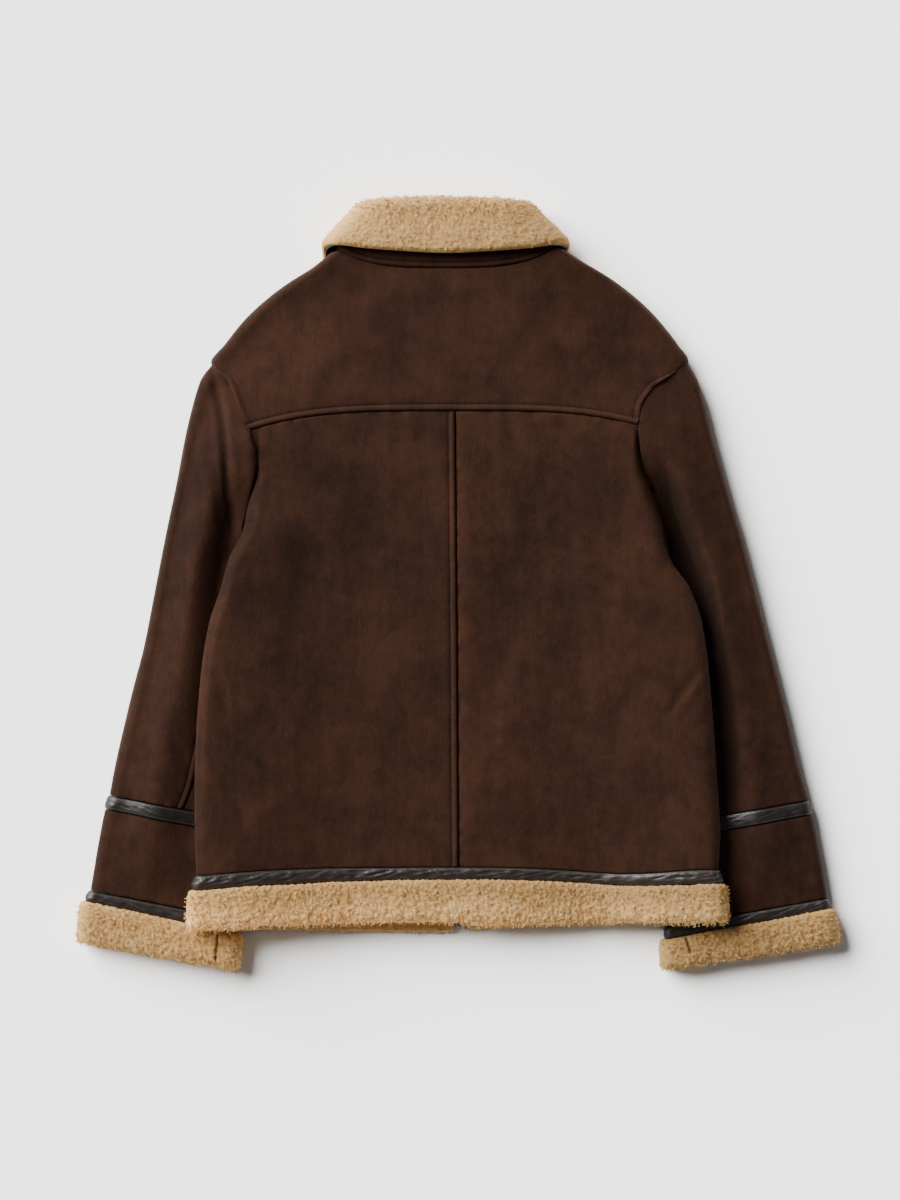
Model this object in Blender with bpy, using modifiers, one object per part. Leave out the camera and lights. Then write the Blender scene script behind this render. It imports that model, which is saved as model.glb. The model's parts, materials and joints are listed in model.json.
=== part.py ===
"""Suede shearling jacket, lying face down with its back upwards.

The jacket rests on z = 0 with its collar towards +Y. Every panel is a thin wall that follows
one of three surfaces: the body, a flattened tube whose sides lie over the sleeves; the two
sleeves, flattened tubes that fan out from the armholes; and the collar, a strip that runs round
the neck and folds over itself. The tables give those surfaces in millimetres.
"""

import math
from collections import namedtuple

import bmesh
import bpy
import numpy as np

MM = 0.001

# Middle of the whole outline on the tables' axes; it becomes the origin
MIDDLE = (-0.15, 0.15, 0.0)

# Driving thicknesses and gaps, in millimetres
CLOTH = 2.4
STRIP_OUT = 0.8
FLEECE_OUT = 6.0
FLEECE_IN = 4.0
SEAM_GAP = 0.35
ARMHOLE_GAP = 0.5
TAPE = 1.0

# Side fold of the body: how far the back panel wraps round it, in degrees
CURL_OPEN = 25.0
CURL_CLOSED = 150.0
FRONT_EDGE = 162.5

# The front panels are lifted over the collar, which lies under them near the neck
COLLAR_LIFT = 13.0
COLLAR_LIFT_FROM_Y = 150.0
COLLAR_LIFT_TO_Y = 205.0
COLLAR_LIFT_WIDE_X = 178.0
COLLAR_LIFT_NARROW_X = 138.0

# The body's underside rises within this width, and is up this far past the sleeve's inner edge
PAD_RISE = 30.0
PAD_PAST = 4.0

# Share of its radius that an open side fold takes, part of the back that lies flat across, how
# sharply its rows dip towards the sides, and where between centre and side their sag is deepest
FOLD_OPEN = 0.15
BACK_FLAT = 0.35
NECK_DIP = 3.5
SAG_PLACE = 1.6

# Centre front closure: heights are above the outer face of the front panels
TEETH_HALF = 3.4
TEETH_LOW = 2.0
TEETH_THICK = 2.2
TAPE_START = 3.7
TAPE_WIDE = 15.0
TAPE_LOW = 2.7
ZIP_TOP_Y = 244.0
ZIP_LOW_Y = -341.0
TAPE_LOW_Y = -308.0
BOX_LOW_Y = -353.0
BOX_THICK = 4.5
SLIDER_HALF = 3.0
SLIDER_LONG = 13.0
SLIDER_THICK = 2.0
TAB_LONG = 32.0
TAB_THICK = 1.6

# Body outline, one row per station from the hem to the neck: left edge, centre line, right edge,
# the centre front, and how far each half of the back sags between its centre and its side
Outline = namedtuple(
    "Outline",
    "left_x left_y mid_x mid_y right_x right_y front_left front_right front_y left_sag right_sag",
)
BODY_OUTLINE = [
    Outline(-273, -353, 0.8, -350, 271, -346, 4, 4, -356, 2, -2),    # hem end
    Outline(-272, -314, 0.7, -304, 270, -308, 4, 4, -309, 2, 5.5),    # hem fleece seam
    Outline(-269, -298, 0.6, -290.5, 267, -292, 4, 4, -295, 0, 6),    # top of the hem strip
    Outline(-271, -253, 0.3, -250, 269, -254, 4, 4, -252, 0, 2.5),
    Outline(-271, -203, 0, -200, 266, -204, 4, 4, -202, 0, 0),
    Outline(-269, -145, -0.4, -144, 262, -145, 4, 4, -145, 0, 0),
    Outline(-263, -78, -0.8, -78, 256, -77, 4, 4, -78, 0, 0),
    Outline(-256, -39, -1.1, -39, 250, -38, 4, 4, -39, 0, 0),
    Outline(-245, -6, -1.4, -4, 238, -4, 4, 4, -5, 0, 0),
    Outline(-236, 26, -1.7, 26, 219, 25, 4, 4, 24, 0, 0),
    Outline(-221, 58, -2, 57, 212, 57, 4, 4, 54, 0, 0),
    Outline(-217, 83, -2.2, 84, 203, 85, 4, 4, 80, 0, 0),
    Outline(-210, 116, -2.5, 116, 190.6, 119, 4, 4, 108, 0, 0),
    Outline(-210, 138, -2.8, 148, 186, 145, 4, 4, 134, 0, 0),
    Outline(-216, 158, -3.1, 178, 186, 164, 4, 4, 160, 0, 0),    # yoke seam
    Outline(-225, 178, -4, 197, 187, 180, 4, 4, 182, 0, 0),
    Outline(-236, 207, -5, 222, 200, 202, 4, 4, 205, 0, 0),
    Outline(-255, 229, -6, 247, 237, 230, 4, 4, 228, 0, 0),    # shoulder point
    Outline(-241, 248, -7, 266, 226, 248, 5, 5, 250, 0, 0),
    Outline(-217, 277, -7, 288, 197, 283, 50, 46, 262, 0, 0),
    Outline(-180, 308, -7, 306, 162, 312, 88, 76, 285, 0, 0),
    Outline(-148, 328, -9, 318, 127, 333, 108, 88, 311, 0, 0),
    Outline(-130, 343, -12, 325, 107, 346, 114.4, 91.2, 333, 0, 0),    # neck
]
HEM_END = 0
HEM_SEAM = 1
HEM_STRIP_TOP = 2
YOKE_SEAM = 14
NECK = 22

# Body heights at the same stations: undersides and tops at the sides, top of the centre,
# how closed each side fold is, and how far the trim lifts the underside off the surface
Rise = namedtuple("Rise", "left_base left_top mid_top right_base right_top left_curl right_curl rest")
BODY_RISE = [
    Rise(34.0, 47, 29, 34.0, 47, 1.0, 1.0, 6.1),
    Rise(34.0, 47, 30, 34.0, 47, 1.0, 1.0, 6.1),
    Rise(31.0, 47, 31, 31.0, 47, 1.0, 1.0, 5.5),
    Rise(22.5, 47, 33, 22.5, 47, 1.0, 1.0, 0.5),
    Rise(21.5, 47, 35, 21.5, 47, 1.0, 1.0, 0.0),
    Rise(21.5, 47, 37, 21.5, 47, 1.0, 1.0, 0.0),
    Rise(21.5, 47, 39, 21.5, 47, 1.0, 1.0, 0.0),
    Rise(21.5, 47, 40, 21.5, 47, 1.0, 1.0, 0.0),
    Rise(21.5, 46, 40, 21.5, 46, 1.0, 1.0, 0.0),
    Rise(21.5, 45, 40, 17.0, 44, 1.0, 1.0, 0.0),
    Rise(12.0, 43, 40, 8.0, 42, 1.0, 1.0, 0.0),
    Rise(4.0, 40, 40, 2.0, 40, 0.8, 0.8, 0.0),
    Rise(0.0, 38, 40, 0.0, 39, 0.4, 0.5, 0.0),
    Rise(0.0, 37, 39, 0.0, 38, 0.15, 0.3, 0.0),
    Rise(0.0, 35, 38, 0.0, 36, 0.0, 0.15, 0.0),
    Rise(0.0, 33, 38, 0.0, 34, 0.0, 0.0, 0.0),
    Rise(0.0, 29, 37, 0.0, 30, 0.0, 0.0, 0.0),
    Rise(0.0, 24, 36, 0.0, 24, 0.5, 0.5, 0.0),
    Rise(0.0, 24, 35, 0.0, 24, 1.0, 1.0, 0.0),
    Rise(0.0, 26, 34, 0.0, 26, 1.0, 1.0, 0.0),
    Rise(0.0, 29, 33, 0.0, 29, 1.0, 1.0, 0.0),
    Rise(0.0, 31, 31, 0.0, 31, 1.0, 1.0, 0.0),
    Rise(0.0, 30, 29, 0.0, 30, 1.0, 1.0, 0.0),
]

# Armhole seams, from the shoulder point down to the underarm
Point = namedtuple("Point", "x y")
ARMHOLE = {
    "left": [
        Point(-255, 226), Point(-237, 206), Point(-224, 177), Point(-215, 152), Point(-210, 133),
        Point(-210, 121), Point(-214, 107), Point(-218, 89), Point(-222, 62), Point(-224, 33),
        Point(-225, 0),
    ],
    "right": [
        Point(237, 228), Point(222, 218), Point(207, 207), Point(194, 190), Point(187, 171),
        Point(186, 157), Point(187, 138), Point(191, 118), Point(200, 97), Point(208, 75),
        Point(215, 50), Point(220, 24), Point(224, -6),
    ],
}

# Sleeve sections from the armhole to the cuff: outer edge, inner edge, heights of the outer
# edge, of the crown and of the part under the body, where that part begins, and the underside
Sleeve = namedtuple(
    "Sleeve", "outer_x outer_y inner_x inner_y outer_top crown_top inner_top press base"
)
SLEEVE = {
    "left": [
        Sleeve(-255, 226, -225, 0, 24, 37, 18, 0.74, 0),      # armhole
        Sleeve(-265.5, 212, -225, -14, 24, 37, 18, 0.72, 0),
        Sleeve(-280.5, 159, -225, -38, 25, 37, 18, 0.70, 0),
        Sleeve(-291, 104, -225, -64, 25, 36, 18, 0.66, 0),
        Sleeve(-301.5, 54, -225, -92, 25, 35, 19, 0.66, 0),
        Sleeve(-313, -5, -225, -125, 25, 34, 19, 0.66, 0),
        Sleeve(-324.8, -65, -224, -158, 24, 33, 19, 0.66, 0),
        Sleeve(-336, -108, -224, -186, 24, 32, 19, 0.66, 0),
        Sleeve(-354, -185, -223, -226, 24, 31, 19, 0.66, 0.5),
        Sleeve(-360.3, -217, -223, -243, 23, 30, 19, 0.68, 0.9),  # strap top
        Sleeve(-364.5, -231, -223, -260, 23, 30, 19, 0.68, 0.9),  # strap bottom
        Sleeve(-373, -275, -224, -304, 22, 27, 19, 0.70, 1),
        Sleeve(-380, -315, -227, -345, 21, 22, 20, 0.70, 6),  # cuff strip top
        Sleeve(-384.5, -327, -228, -359, 21, 21, 21, 0.70, 6.1),  # cuff fleece seam
        Sleeve(-388, -368, -230, -397, 21, 21, 21, 0.70, 6.1),  # cuff end
    ],
    "right": [
        Sleeve(237, 228, 224, -6, 24, 36, 18, 0.66, 0),
        Sleeve(248.5, 206, 224, -18, 24, 36, 18, 0.64, 0),
        Sleeve(261.8, 155, 224, -45, 25, 36, 18, 0.62, 0),
        Sleeve(279, 94, 223, -72, 25, 35, 18, 0.62, 0),
        Sleeve(291.5, 52, 223, -98, 25, 34, 19, 0.62, 0),
        Sleeve(305, 0, 222, -128, 25, 33, 19, 0.62, 0),
        Sleeve(321.5, -64, 220, -168, 24, 32, 19, 0.62, 0),
        Sleeve(333.5, -110, 218, -196, 24, 31, 19, 0.62, 0),
        Sleeve(351, -185, 216, -234, 24, 30, 19, 0.62, 0.5),
        Sleeve(361, -222, 214, -248, 23, 29, 19, 0.62, 0.9),
        Sleeve(365, -237, 213, -265, 23, 29, 19, 0.62, 0.9),
        Sleeve(373, -277, 212, -308, 22, 27, 19, 0.64, 1),
        Sleeve(380.5, -323, 213, -353, 21, 22, 20, 0.66, 6),
        Sleeve(383, -335, 213, -366, 21, 21, 21, 0.66, 6.1),
        Sleeve(388, -369, 214, -396, 21, 21, 21, 0.66, 6.1),
    ],
}
ARMHOLE_ROW = 0
STRAP_TOP = 9
STRAP_LOW = 10
CUFF_STRIP_TOP = 12
CUFF_SEAM = 13
CUFF_END = 14
CROWN_AT = 0.36
ELBOW_TOP = 1.88
ELBOW_BEND = 1.5
ELBOW_LOW = {"left": 1.56, "right": 1.7}
UNDER_SEAM = 3.8
ARMHOLE_FADE = 4.0

# Collar stations from the centre front round the left side of the neck, over the back and down
# the right side: neck seam, fold line and outer rim of the fall
Collar = namedtuple(
    "Collar", "seam_x seam_y seam_z fold_x fold_y fold_z rim_x rim_y rim_z pile"
)
COLLAR = [
    Collar(-5, 252.5, 15.7, -5, 300, 10, -14, 236, 7, 6.3),       # left front edge
    Collar(-49, 264.5, 15.7, -46, 312, 10, -66, 212, 7, 6.3),     # left point
    Collar(-86, 288, 15.7, -72, 336, 10, -112, 240, 7, 6.3),
    Collar(-106, 313, 15.7, -90, 358, 10, -131, 290, 7, 6.3),
    Collar(-113, 336, 16.5, -96, 374, 11, -139, 328, 8, 6.5),
    Collar(-124, 348, 22.5, -101, 379, 18, -138, 345, 17, 8.0),   # left side
    Collar(-114, 339, 26.5, -92, 383.5, 28, -124, 348, 32.5, 9.0),
    Collar(-84, 330, 26.5, -71, 386.5, 30, -96, 345, 34, 9.0),
    Collar(-48, 326.8, 26.5, -43, 387.3, 30, -56, 342, 34, 9.0),
    Collar(-12, 326, 26.3, -12, 387.3, 30, -12, 340, 34, 9.0),    # centre back
    Collar(24, 326.8, 26.5, 15, 387, 30, 32, 342, 34, 9.0),
    Collar(60, 331, 26.5, 41, 386, 30, 72, 345, 34, 9.0),
    Collar(91, 341, 26.5, 63, 383, 28, 99, 348, 32.5, 9.0),
    Collar(99, 350, 22.5, 71, 380, 18, 112, 346, 17, 8.0),       # right side
    Collar(90, 338, 16.5, 66, 374.5, 11, 111, 329, 8, 6.5),
    Collar(84, 314, 15.7, 62, 358, 10, 106, 290, 7, 6.3),
    Collar(72, 288, 15.7, 50, 336, 10, 90, 240, 7, 6.3),
    Collar(45, 264.5, 15.7, 36, 312, 10, 56, 212, 7, 6.3),        # right point
    Collar(5, 252.5, 15.7, 5, 300, 10, 14, 236, 7, 6.3),          # right front edge
]
COLLAR_CORE = 3.4
UNDERCOLLAR = 1.6
LINING_GAP = 0.3
PILE_GAP = 0.5

# Edges that turn more than this many degrees are shaded sharp
SHARP = 50.0

# Sizes that seam gaps and folds are measured against
HALF_BACK = 260.0
HALF_SLEEVE = 120.0
STRIP_TALL = 14.0
FLEECE_TALL = 40.0
FOLD_PLACES = (0.24, 0.5, 0.76, 0.985, 1.0)
BACK_STEPS = ((0.0, 0.4, 2), (0.4, 0.85, 4), (0.85, 1.0, 1))
FRONT_STEPS = ((2.0, 2.28, 5), (2.28, 3.0, 2))
ZIP_STATIONS = (0, 1, 2, 3, 4, 13, 14, 15, 16, 17, 18)
FRONT_START = 1.0 + FRONT_EDGE / 180.0

SIDES = ("left", "right")
OUTWARDS = {"left": 1.0, "right": -1.0}

# Finishes: colour, roughness, metallic
SUEDE = ("suede", (0.048, 0.020, 0.010), 0.95, 0.0)
LEATHER = ("leather", (0.018, 0.014, 0.013), 0.38, 0.0)
FLEECE = ("fleece", (0.58, 0.39, 0.20), 1.0, 0.0)
TAPE_CLOTH = ("zip_tape", (0.016, 0.012, 0.010), 0.9, 0.0)
METAL = ("zip_metal", (0.10, 0.09, 0.08), 0.35, 1.0)


# ---------------------------------------------------------------- smooth rules


def smooth(low, high, value):
    """0 below low, 1 above high, with a soft S between them."""
    part = np.clip((value - low) / (high - low), 0.0, 1.0)
    return part * part * (3.0 - 2.0 * part)


def slopes(values):
    """Slope of each column at each row that never overshoots the rows beside it."""
    steps = np.diff(values, axis=0)
    before, after = steps[:-1], steps[1:]
    total = before + after
    inner = np.where(before * after > 0, 2.0 * before * after / np.where(total == 0, 1, total), 0.0)
    return np.vstack([steps[:1], inner, steps[-1:]])


def through_rows(rows, station):
    """Cubic curve through table rows; whole stations are the rows themselves."""
    values = np.array(rows, dtype=float)
    station = np.asarray(station, dtype=float)
    first = np.clip(np.floor(station).astype(int), 0, len(values) - 2)
    part = (station - first)[..., None]
    tangent = slopes(values)
    start, end = values[first], values[first + 1]
    rise, fall = tangent[first], tangent[first + 1]
    return (
        start * (1 + 2 * part) * (1 - part) ** 2
        + rise * part * (1 - part) ** 2
        + end * part**2 * (3 - 2 * part)
        + fall * part**2 * (part - 1)
    )


def columns(rows, station):
    """The table's columns by name at the given stations."""
    values = through_rows(rows, station)
    return type(rows[0])(*np.moveaxis(values, -1, 0))


def normals(surface, across, along):
    """Unit normals of surface(across, along), from its slopes in both directions."""
    step = 0.01
    d_across = surface(across + step, along) - surface(across - step, along)
    d_along = surface(across, along + step) - surface(across, along - step)
    normal = np.cross(d_across, d_along)
    return normal / np.linalg.norm(normal, axis=-1, keepdims=True)


# ---------------------------------------------------------------- the body surface


def collar_lift(x, y):
    """Height of the cloth over the part of the collar that lies under it."""
    up = smooth(COLLAR_LIFT_FROM_Y, COLLAR_LIFT_TO_Y, y)
    wide = 1.0 - smooth(COLLAR_LIFT_NARROW_X, COLLAR_LIFT_WIDE_X, np.abs(x))
    return COLLAR_LIFT * up * wide


def sleeve_inner_x(side, y):
    """Distance of the sleeve's inner edge from the centre line at this height of the body."""
    rows = SLEEVE[side]
    heights = [row.inner_y for row in reversed(rows)]
    edges = [abs(row.inner_x) for row in reversed(rows)]
    return np.interp(y, heights, edges)


def body(side, station, around):
    """Outer face of half the body.

    around runs 0 to 1 over the back from the centre line to the side, 1 to 2 round the side
    fold, and 2 to 3 under the front from the side to the centre front.
    """
    station, around = np.broadcast_arrays(np.asarray(station, float), np.asarray(around, float))
    plan = columns(BODY_OUTLINE, station)
    rise = columns(BODY_RISE, station)
    sign = -1.0 if side == "left" else 1.0
    edge_x = getattr(plan, side + "_x")
    edge_y = getattr(plan, side + "_y")
    lift = collar_lift(edge_x, edge_y)
    base = getattr(rise, side + "_base") + lift
    top = getattr(rise, side + "_top")
    curl = getattr(rise, side + "_curl")
    radius = (top - base) / 2.0
    fold_x = radius * (FOLD_OPEN + (1.0 - FOLD_OPEN) * curl)
    reach = np.sin(np.radians(np.minimum(CURL_OPEN + (CURL_CLOSED - CURL_OPEN) * curl, 90.0)))
    arc_x = edge_x - sign * fold_x * reach

    over = np.clip(around, 0.0, 1.0)
    turn = np.pi * np.clip(around - 1.0, 0.0, 1.0)
    under = np.clip(around - 2.0, 0.0, 1.0)

    back_x = plan.mid_x + (arc_x - plan.mid_x) * over
    sag = getattr(plan, side + "_sag") * np.sin(np.pi * over**SAG_PLACE) ** 2
    back_y = plan.mid_y + (edge_y - plan.mid_y) * over**NECK_DIP - sag
    back_z = rise.mid_top + (top - rise.mid_top) * smooth(BACK_FLAT, 1.0, over)

    side_x = edge_x - sign * fold_x * (reach - np.sin(turn))
    side_z = base + radius * (1.0 + np.cos(turn))

    front_x = side_x + (sign * getattr(plan, "front_" + side) - side_x) * under
    front_y = edge_y + (plan.front_y - edge_y) * under
    limit = np.minimum(sleeve_inner_x(side, edge_y) + PAD_PAST, np.abs(edge_x) - fold_x)
    pad = getattr(rise, side + "_base") - rise.rest
    front_z = rise.rest + pad * smooth(limit - PAD_RISE, limit, np.abs(front_x))
    front_z = front_z + collar_lift(front_x, front_y)

    on_back = around <= 1.0
    on_side = around <= 2.0
    x = np.where(on_back, back_x, np.where(on_side, side_x, front_x))
    y = np.where(on_back, back_y, np.where(on_side, edge_y, front_y))
    z = np.where(on_back, back_z, np.where(on_side, side_z, front_z))
    return np.stack([x, y, z], axis=-1)


def curl_end(side, station):
    """Where the back panel ends on the side fold, on body()'s scale."""
    curl = getattr(columns(BODY_RISE, station), side + "_curl")
    return 1.0 + (CURL_OPEN + (CURL_CLOSED - CURL_OPEN) * curl) / 180.0


# ---------------------------------------------------------------- the sleeve surface


def armhole(side, part):
    """Point of the armhole seam, part of the way from the shoulder point to the underarm."""
    points = np.array(ARMHOLE[side], dtype=float)
    lengths = np.hypot(*np.diff(points, axis=0).T)
    stations = np.concatenate([[0.0], np.cumsum(lengths)]) / lengths.sum()
    return through_rows(points, np.interp(part, stations, np.arange(len(points))))


def sleeve(side, station, around):
    """Outer face of a sleeve.

    around runs 0 to 1 up round the outer edge, 1 to 2 over the top towards the body, 2 to 3
    down round the inner edge and 3 to 4 back along the underside.
    """
    station, around = np.broadcast_arrays(np.asarray(station, float), np.asarray(around, float))
    row = columns(SLEEVE[side], station)
    around = np.mod(around, 4.0)
    wide = np.hypot(row.inner_x - row.outer_x, row.inner_y - row.outer_y)
    outer_r = (row.outer_top - row.base) / 2.0
    inner_r = (row.inner_top - row.base) / 2.0

    outer_turn = np.pi * (1.0 - np.clip(around, 0.0, 1.0))
    inner_turn = np.pi * np.clip(around - 2.0, 0.0, 1.0)
    over = np.clip(around - 1.0, 0.0, 1.0)
    under = np.clip(around - 3.0, 0.0, 1.0)
    flat = wide - outer_r - inner_r
    q = np.select(
        [around <= 1.0, around <= 2.0, around <= 3.0],
        [outer_r * (1.0 - np.sin(outer_turn)), outer_r + flat * over,
         wide - inner_r * (1.0 - np.sin(inner_turn))],
        wide - inner_r - flat * under,
    )
    part = q / wide
    crown = row.outer_top + (row.crown_top - row.outer_top) * smooth(outer_r / wide, CROWN_AT, part)
    pressed = smooth(CROWN_AT, row.press, part)
    top_z = crown + (row.inner_top - crown) * pressed
    z = np.select(
        [around <= 1.0, around <= 2.0, around <= 3.0],
        [row.base + outer_r * (1.0 + np.cos(outer_turn)), top_z,
         row.base + inner_r * (1.0 + np.cos(inner_turn))],
        row.base,
    )

    first = SLEEVE[side][ARMHOLE_ROW]
    seam = armhole(side, part)
    fade = np.clip(1.0 - station / ARMHOLE_FADE, 0.0, 1.0) ** 2
    bow_x = seam[..., 0] - (first.outer_x + (first.inner_x - first.outer_x) * part)
    bow_y = seam[..., 1] - (first.outer_y + (first.inner_y - first.outer_y) * part)
    x = row.outer_x + (row.inner_x - row.outer_x) * part + bow_x * fade
    y = row.outer_y + (row.inner_y - row.outer_y) * part + bow_y * fade
    return np.stack([x, y, z], axis=-1)


# ---------------------------------------------------------------- the collar surface


def collar(station, along):
    """Cloth line of the collar, on which the pile stands.

    along runs 0 to 1 up the fall from its rim to the fold, 1 to 2 round the fold, and 2 to 3
    down the inside of the stand to the neck seam.
    """
    station, along = np.broadcast_arrays(np.asarray(station, float), np.asarray(along, float))
    last = len(COLLAR) - 1

    def rings(at):
        values = through_rows(COLLAR, np.clip(at, 0.0, last))
        return values[..., 0:3], values[..., 3:6], values[..., 6:9]

    seam, fold, rim = rings(station)
    ahead = rings(station + 0.05)[1]
    behind = rings(station - 0.05)[1]
    up = fold - seam
    up = up / np.linalg.norm(up, axis=-1, keepdims=True)
    out = np.cross(ahead - behind, up)
    out = out / np.linalg.norm(out, axis=-1, keepdims=True)

    fall = np.clip(along, 0.0, 1.0)[..., None]
    turn = (np.pi * np.clip(along - 1.0, 0.0, 1.0))[..., None]
    stand = np.clip(along - 2.0, 0.0, 1.0)[..., None]
    fall_point = rim + (fold + COLLAR_CORE * out - rim) * fall
    turn_point = fold + COLLAR_CORE * (out * np.cos(turn) + up * np.sin(turn))
    stand_point = (fold - COLLAR_CORE * out) * (1.0 - stand) + seam * stand
    point = np.where(along[..., None] <= 1.0, fall_point, turn_point)
    return np.where(along[..., None] <= 2.0, point, stand_point)


# ---------------------------------------------------------------- making solids


def material(finish):
    """Principled material of one of the finishes above."""
    name, colour, roughness, metallic = finish
    made = bpy.data.materials.get(name)
    if made is None:
        made = bpy.data.materials.new(name)
        made.use_nodes = True
        shader = made.node_tree.nodes["Principled BSDF"]
        shader.inputs["Base Color"].default_value = (*colour, 1.0)
        shader.inputs["Roughness"].default_value = roughness
        shader.inputs["Metallic"].default_value = metallic
    return made


def own_material(finish, name):
    """A copy of a finish for one piece, so that each piece can be recoloured alone."""
    made = material(finish).copy()
    made.name = name + "_" + finish[0]
    return made


def add_object(name, mesh, finish):
    """Link a mesh as one named piece with its own material."""
    mesh.materials.append(own_material(finish, name))
    mesh.shade_smooth()
    mesh.set_sharp_from_angle(angle=math.radians(SHARP))
    piece = bpy.data.objects.new(name, mesh)
    PARTS.objects.link(piece)
    return piece


def grid_faces(rows, cols, wrap_rows=False, wrap_cols=False):
    """Quads over a grid of rows by cols vertices, closed on itself where asked."""
    row_ids = np.arange(rows if wrap_rows else rows - 1)
    col_ids = np.arange(cols if wrap_cols else cols - 1)
    row, col = np.meshgrid(row_ids, col_ids, indexing="ij")
    below, right = (row + 1) % rows, (col + 1) % cols
    quads = np.stack(
        [row * cols + col, below * cols + col, below * cols + right, row * cols + right], axis=-1
    )
    return quads.reshape(-1, 4).tolist()


def mesh_of(name, points, faces):
    """Mesh from a grid of points in millimetres and its faces."""
    mesh = bpy.data.meshes.new(name)
    centred = points.reshape(-1, 3) - np.array(MIDDLE)
    mesh.from_pydata((centred * MM).tolist(), [], faces)
    mesh.update()
    return mesh


def panel(name, points, flip, tube=False):
    """Cloth wall whose outer face is a grid of points; a tube closes on itself across."""
    rows, cols = points.shape[:2]
    faces = grid_faces(rows, cols, wrap_cols=tube)
    if flip:
        faces = [face[::-1] for face in faces]
    piece = add_object(name, mesh_of(name, points, faces), SUEDE)
    wall = piece.modifiers.new("wall", "SOLIDIFY")
    wall.thickness = CLOTH * MM
    wall.offset = -1.0
    return piece


def carried(name, sections, finish, ring=False):
    """Closed profile carried through sections, a ring or with flat ends.

    sections has one row of points for each corner of the profile and a column for each place.
    """
    rows, cols = sections.shape[:2]
    faces = grid_faces(rows, cols, wrap_rows=True, wrap_cols=ring)
    if not ring:
        first = np.arange(rows) * cols
        faces.append(first.tolist())
        faces.append((first[::-1] + cols - 1).tolist())
    mesh = mesh_of(name, sections, faces)
    made = bmesh.new()
    made.from_mesh(mesh)
    bmesh.ops.recalc_face_normals(made, faces=made.faces)
    made.to_mesh(mesh)
    made.free()
    return add_object(name, mesh, finish)


def spread(*stops):
    """Places from (start, end, steps) runs, joined end to end."""
    runs = [np.linspace(start, end, steps + 1) for start, end, steps in stops]
    return np.concatenate([runs[0]] + [run[1:] for run in runs[1:]])


def stations_between(rows, first, last, low_gap, high_gap):
    """Whole stations from first to last, the end ones drawn in by the seam gaps."""
    places = np.array([[row[0], row[1]] for row in rows], dtype=float)
    pitch = np.hypot(*np.diff(places, axis=0).T)
    stations = np.arange(first, last + 1, dtype=float)
    stations[0] += low_gap / pitch[first]
    stations[-1] -= high_gap / pitch[last - 1]
    return stations


def trim(name, surface, sign, profile, around, finish, ring=False):
    """Profile carried round a surface of (station, around).

    profile rows are (station, offset): the place along the surface and the distance off it;
    sign turns the surface's normals outwards.
    """
    rings = []
    for station, offset in profile:
        normal = sign * normals(surface, station, around)
        rings.append(surface(station, around) + offset * normal)
    return carried(name, np.stack(rings), finish, ring)


def fleece_profile(start, end, out, inn):
    """Rounded band from one station to the other, standing out and in from the cloth."""
    length = end - start
    return [
        (start, -0.6 * inn), (start, 0.6 * out), (start + 0.10 * length, 0.95 * out),
        (end - 0.15 * length, out), (end, 0.4 * out), (end, -0.5 * inn),
        (end - 0.12 * length, -inn), (start + 0.12 * length, -inn),
    ]


def strip_profile(start, end):
    """Flat leather strip with its outer face raised a little."""
    return [(start, -CLOTH), (start, STRIP_OUT), (end, STRIP_OUT), (end, -CLOTH)]


# ---------------------------------------------------------------- body pieces


def half_body(side):
    """Surface of one half of the body in (station, around)."""
    return lambda station, around: body(side, station, around)


def whole_back(station, around):
    """Back of the body from the left side seam (-2) over the centre (0) to the right (2)."""
    station, around = np.broadcast_arrays(np.asarray(station, float), np.asarray(around, float))
    left = body("left", station, np.maximum(-around, 0.0))
    right = body("right", station, np.maximum(around, 0.0))
    return np.where((around < 0.0)[..., None], left, right)


def back_places(side, stations, from_centre):
    """Grid places of the back, from the centre line to where it ends on the side fold."""
    over = spread((from_centre, *BACK_STEPS[0][1:]), *BACK_STEPS[1:])
    arc = np.array(FOLD_PLACES)
    end = curl_end(side, stations)[:, None]
    return np.hstack([np.tile(over, (len(stations), 1)), 1.0 + (end - 1.0) * arc])


def make_back(side):
    """Back panel of one side, from the centre-back seam to the side seam."""
    stations = stations_between(BODY_OUTLINE, HEM_STRIP_TOP, YOKE_SEAM, SEAM_GAP, SEAM_GAP)
    around = back_places(side, stations, SEAM_GAP / HALF_BACK)
    points = body(side, stations[:, None], around)
    panel("back_" + side, points, flip=side == "right")


def make_yoke():
    """Back yoke in one piece, from shoulder fold to shoulder fold."""
    stations = stations_between(BODY_OUTLINE, YOKE_SEAM, NECK, SEAM_GAP, SEAM_GAP)
    left = -back_places("left", stations, 0.0)[:, :0:-1]
    right = back_places("right", stations, 0.0)
    points = whole_back(stations[:, None], np.hstack([left, right]))
    panel("back_yoke", points, flip=True)


def make_front(side):
    """Front panel, lying underneath from the side seam to the zip."""
    stations = stations_between(BODY_OUTLINE, HEM_STRIP_TOP, NECK, SEAM_GAP, SEAM_GAP)
    around = spread((FRONT_START, 2.0, 1), *FRONT_STEPS)
    points = body(side, stations[:, None], around)
    panel("front_" + side, points, flip=side == "right")


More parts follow.
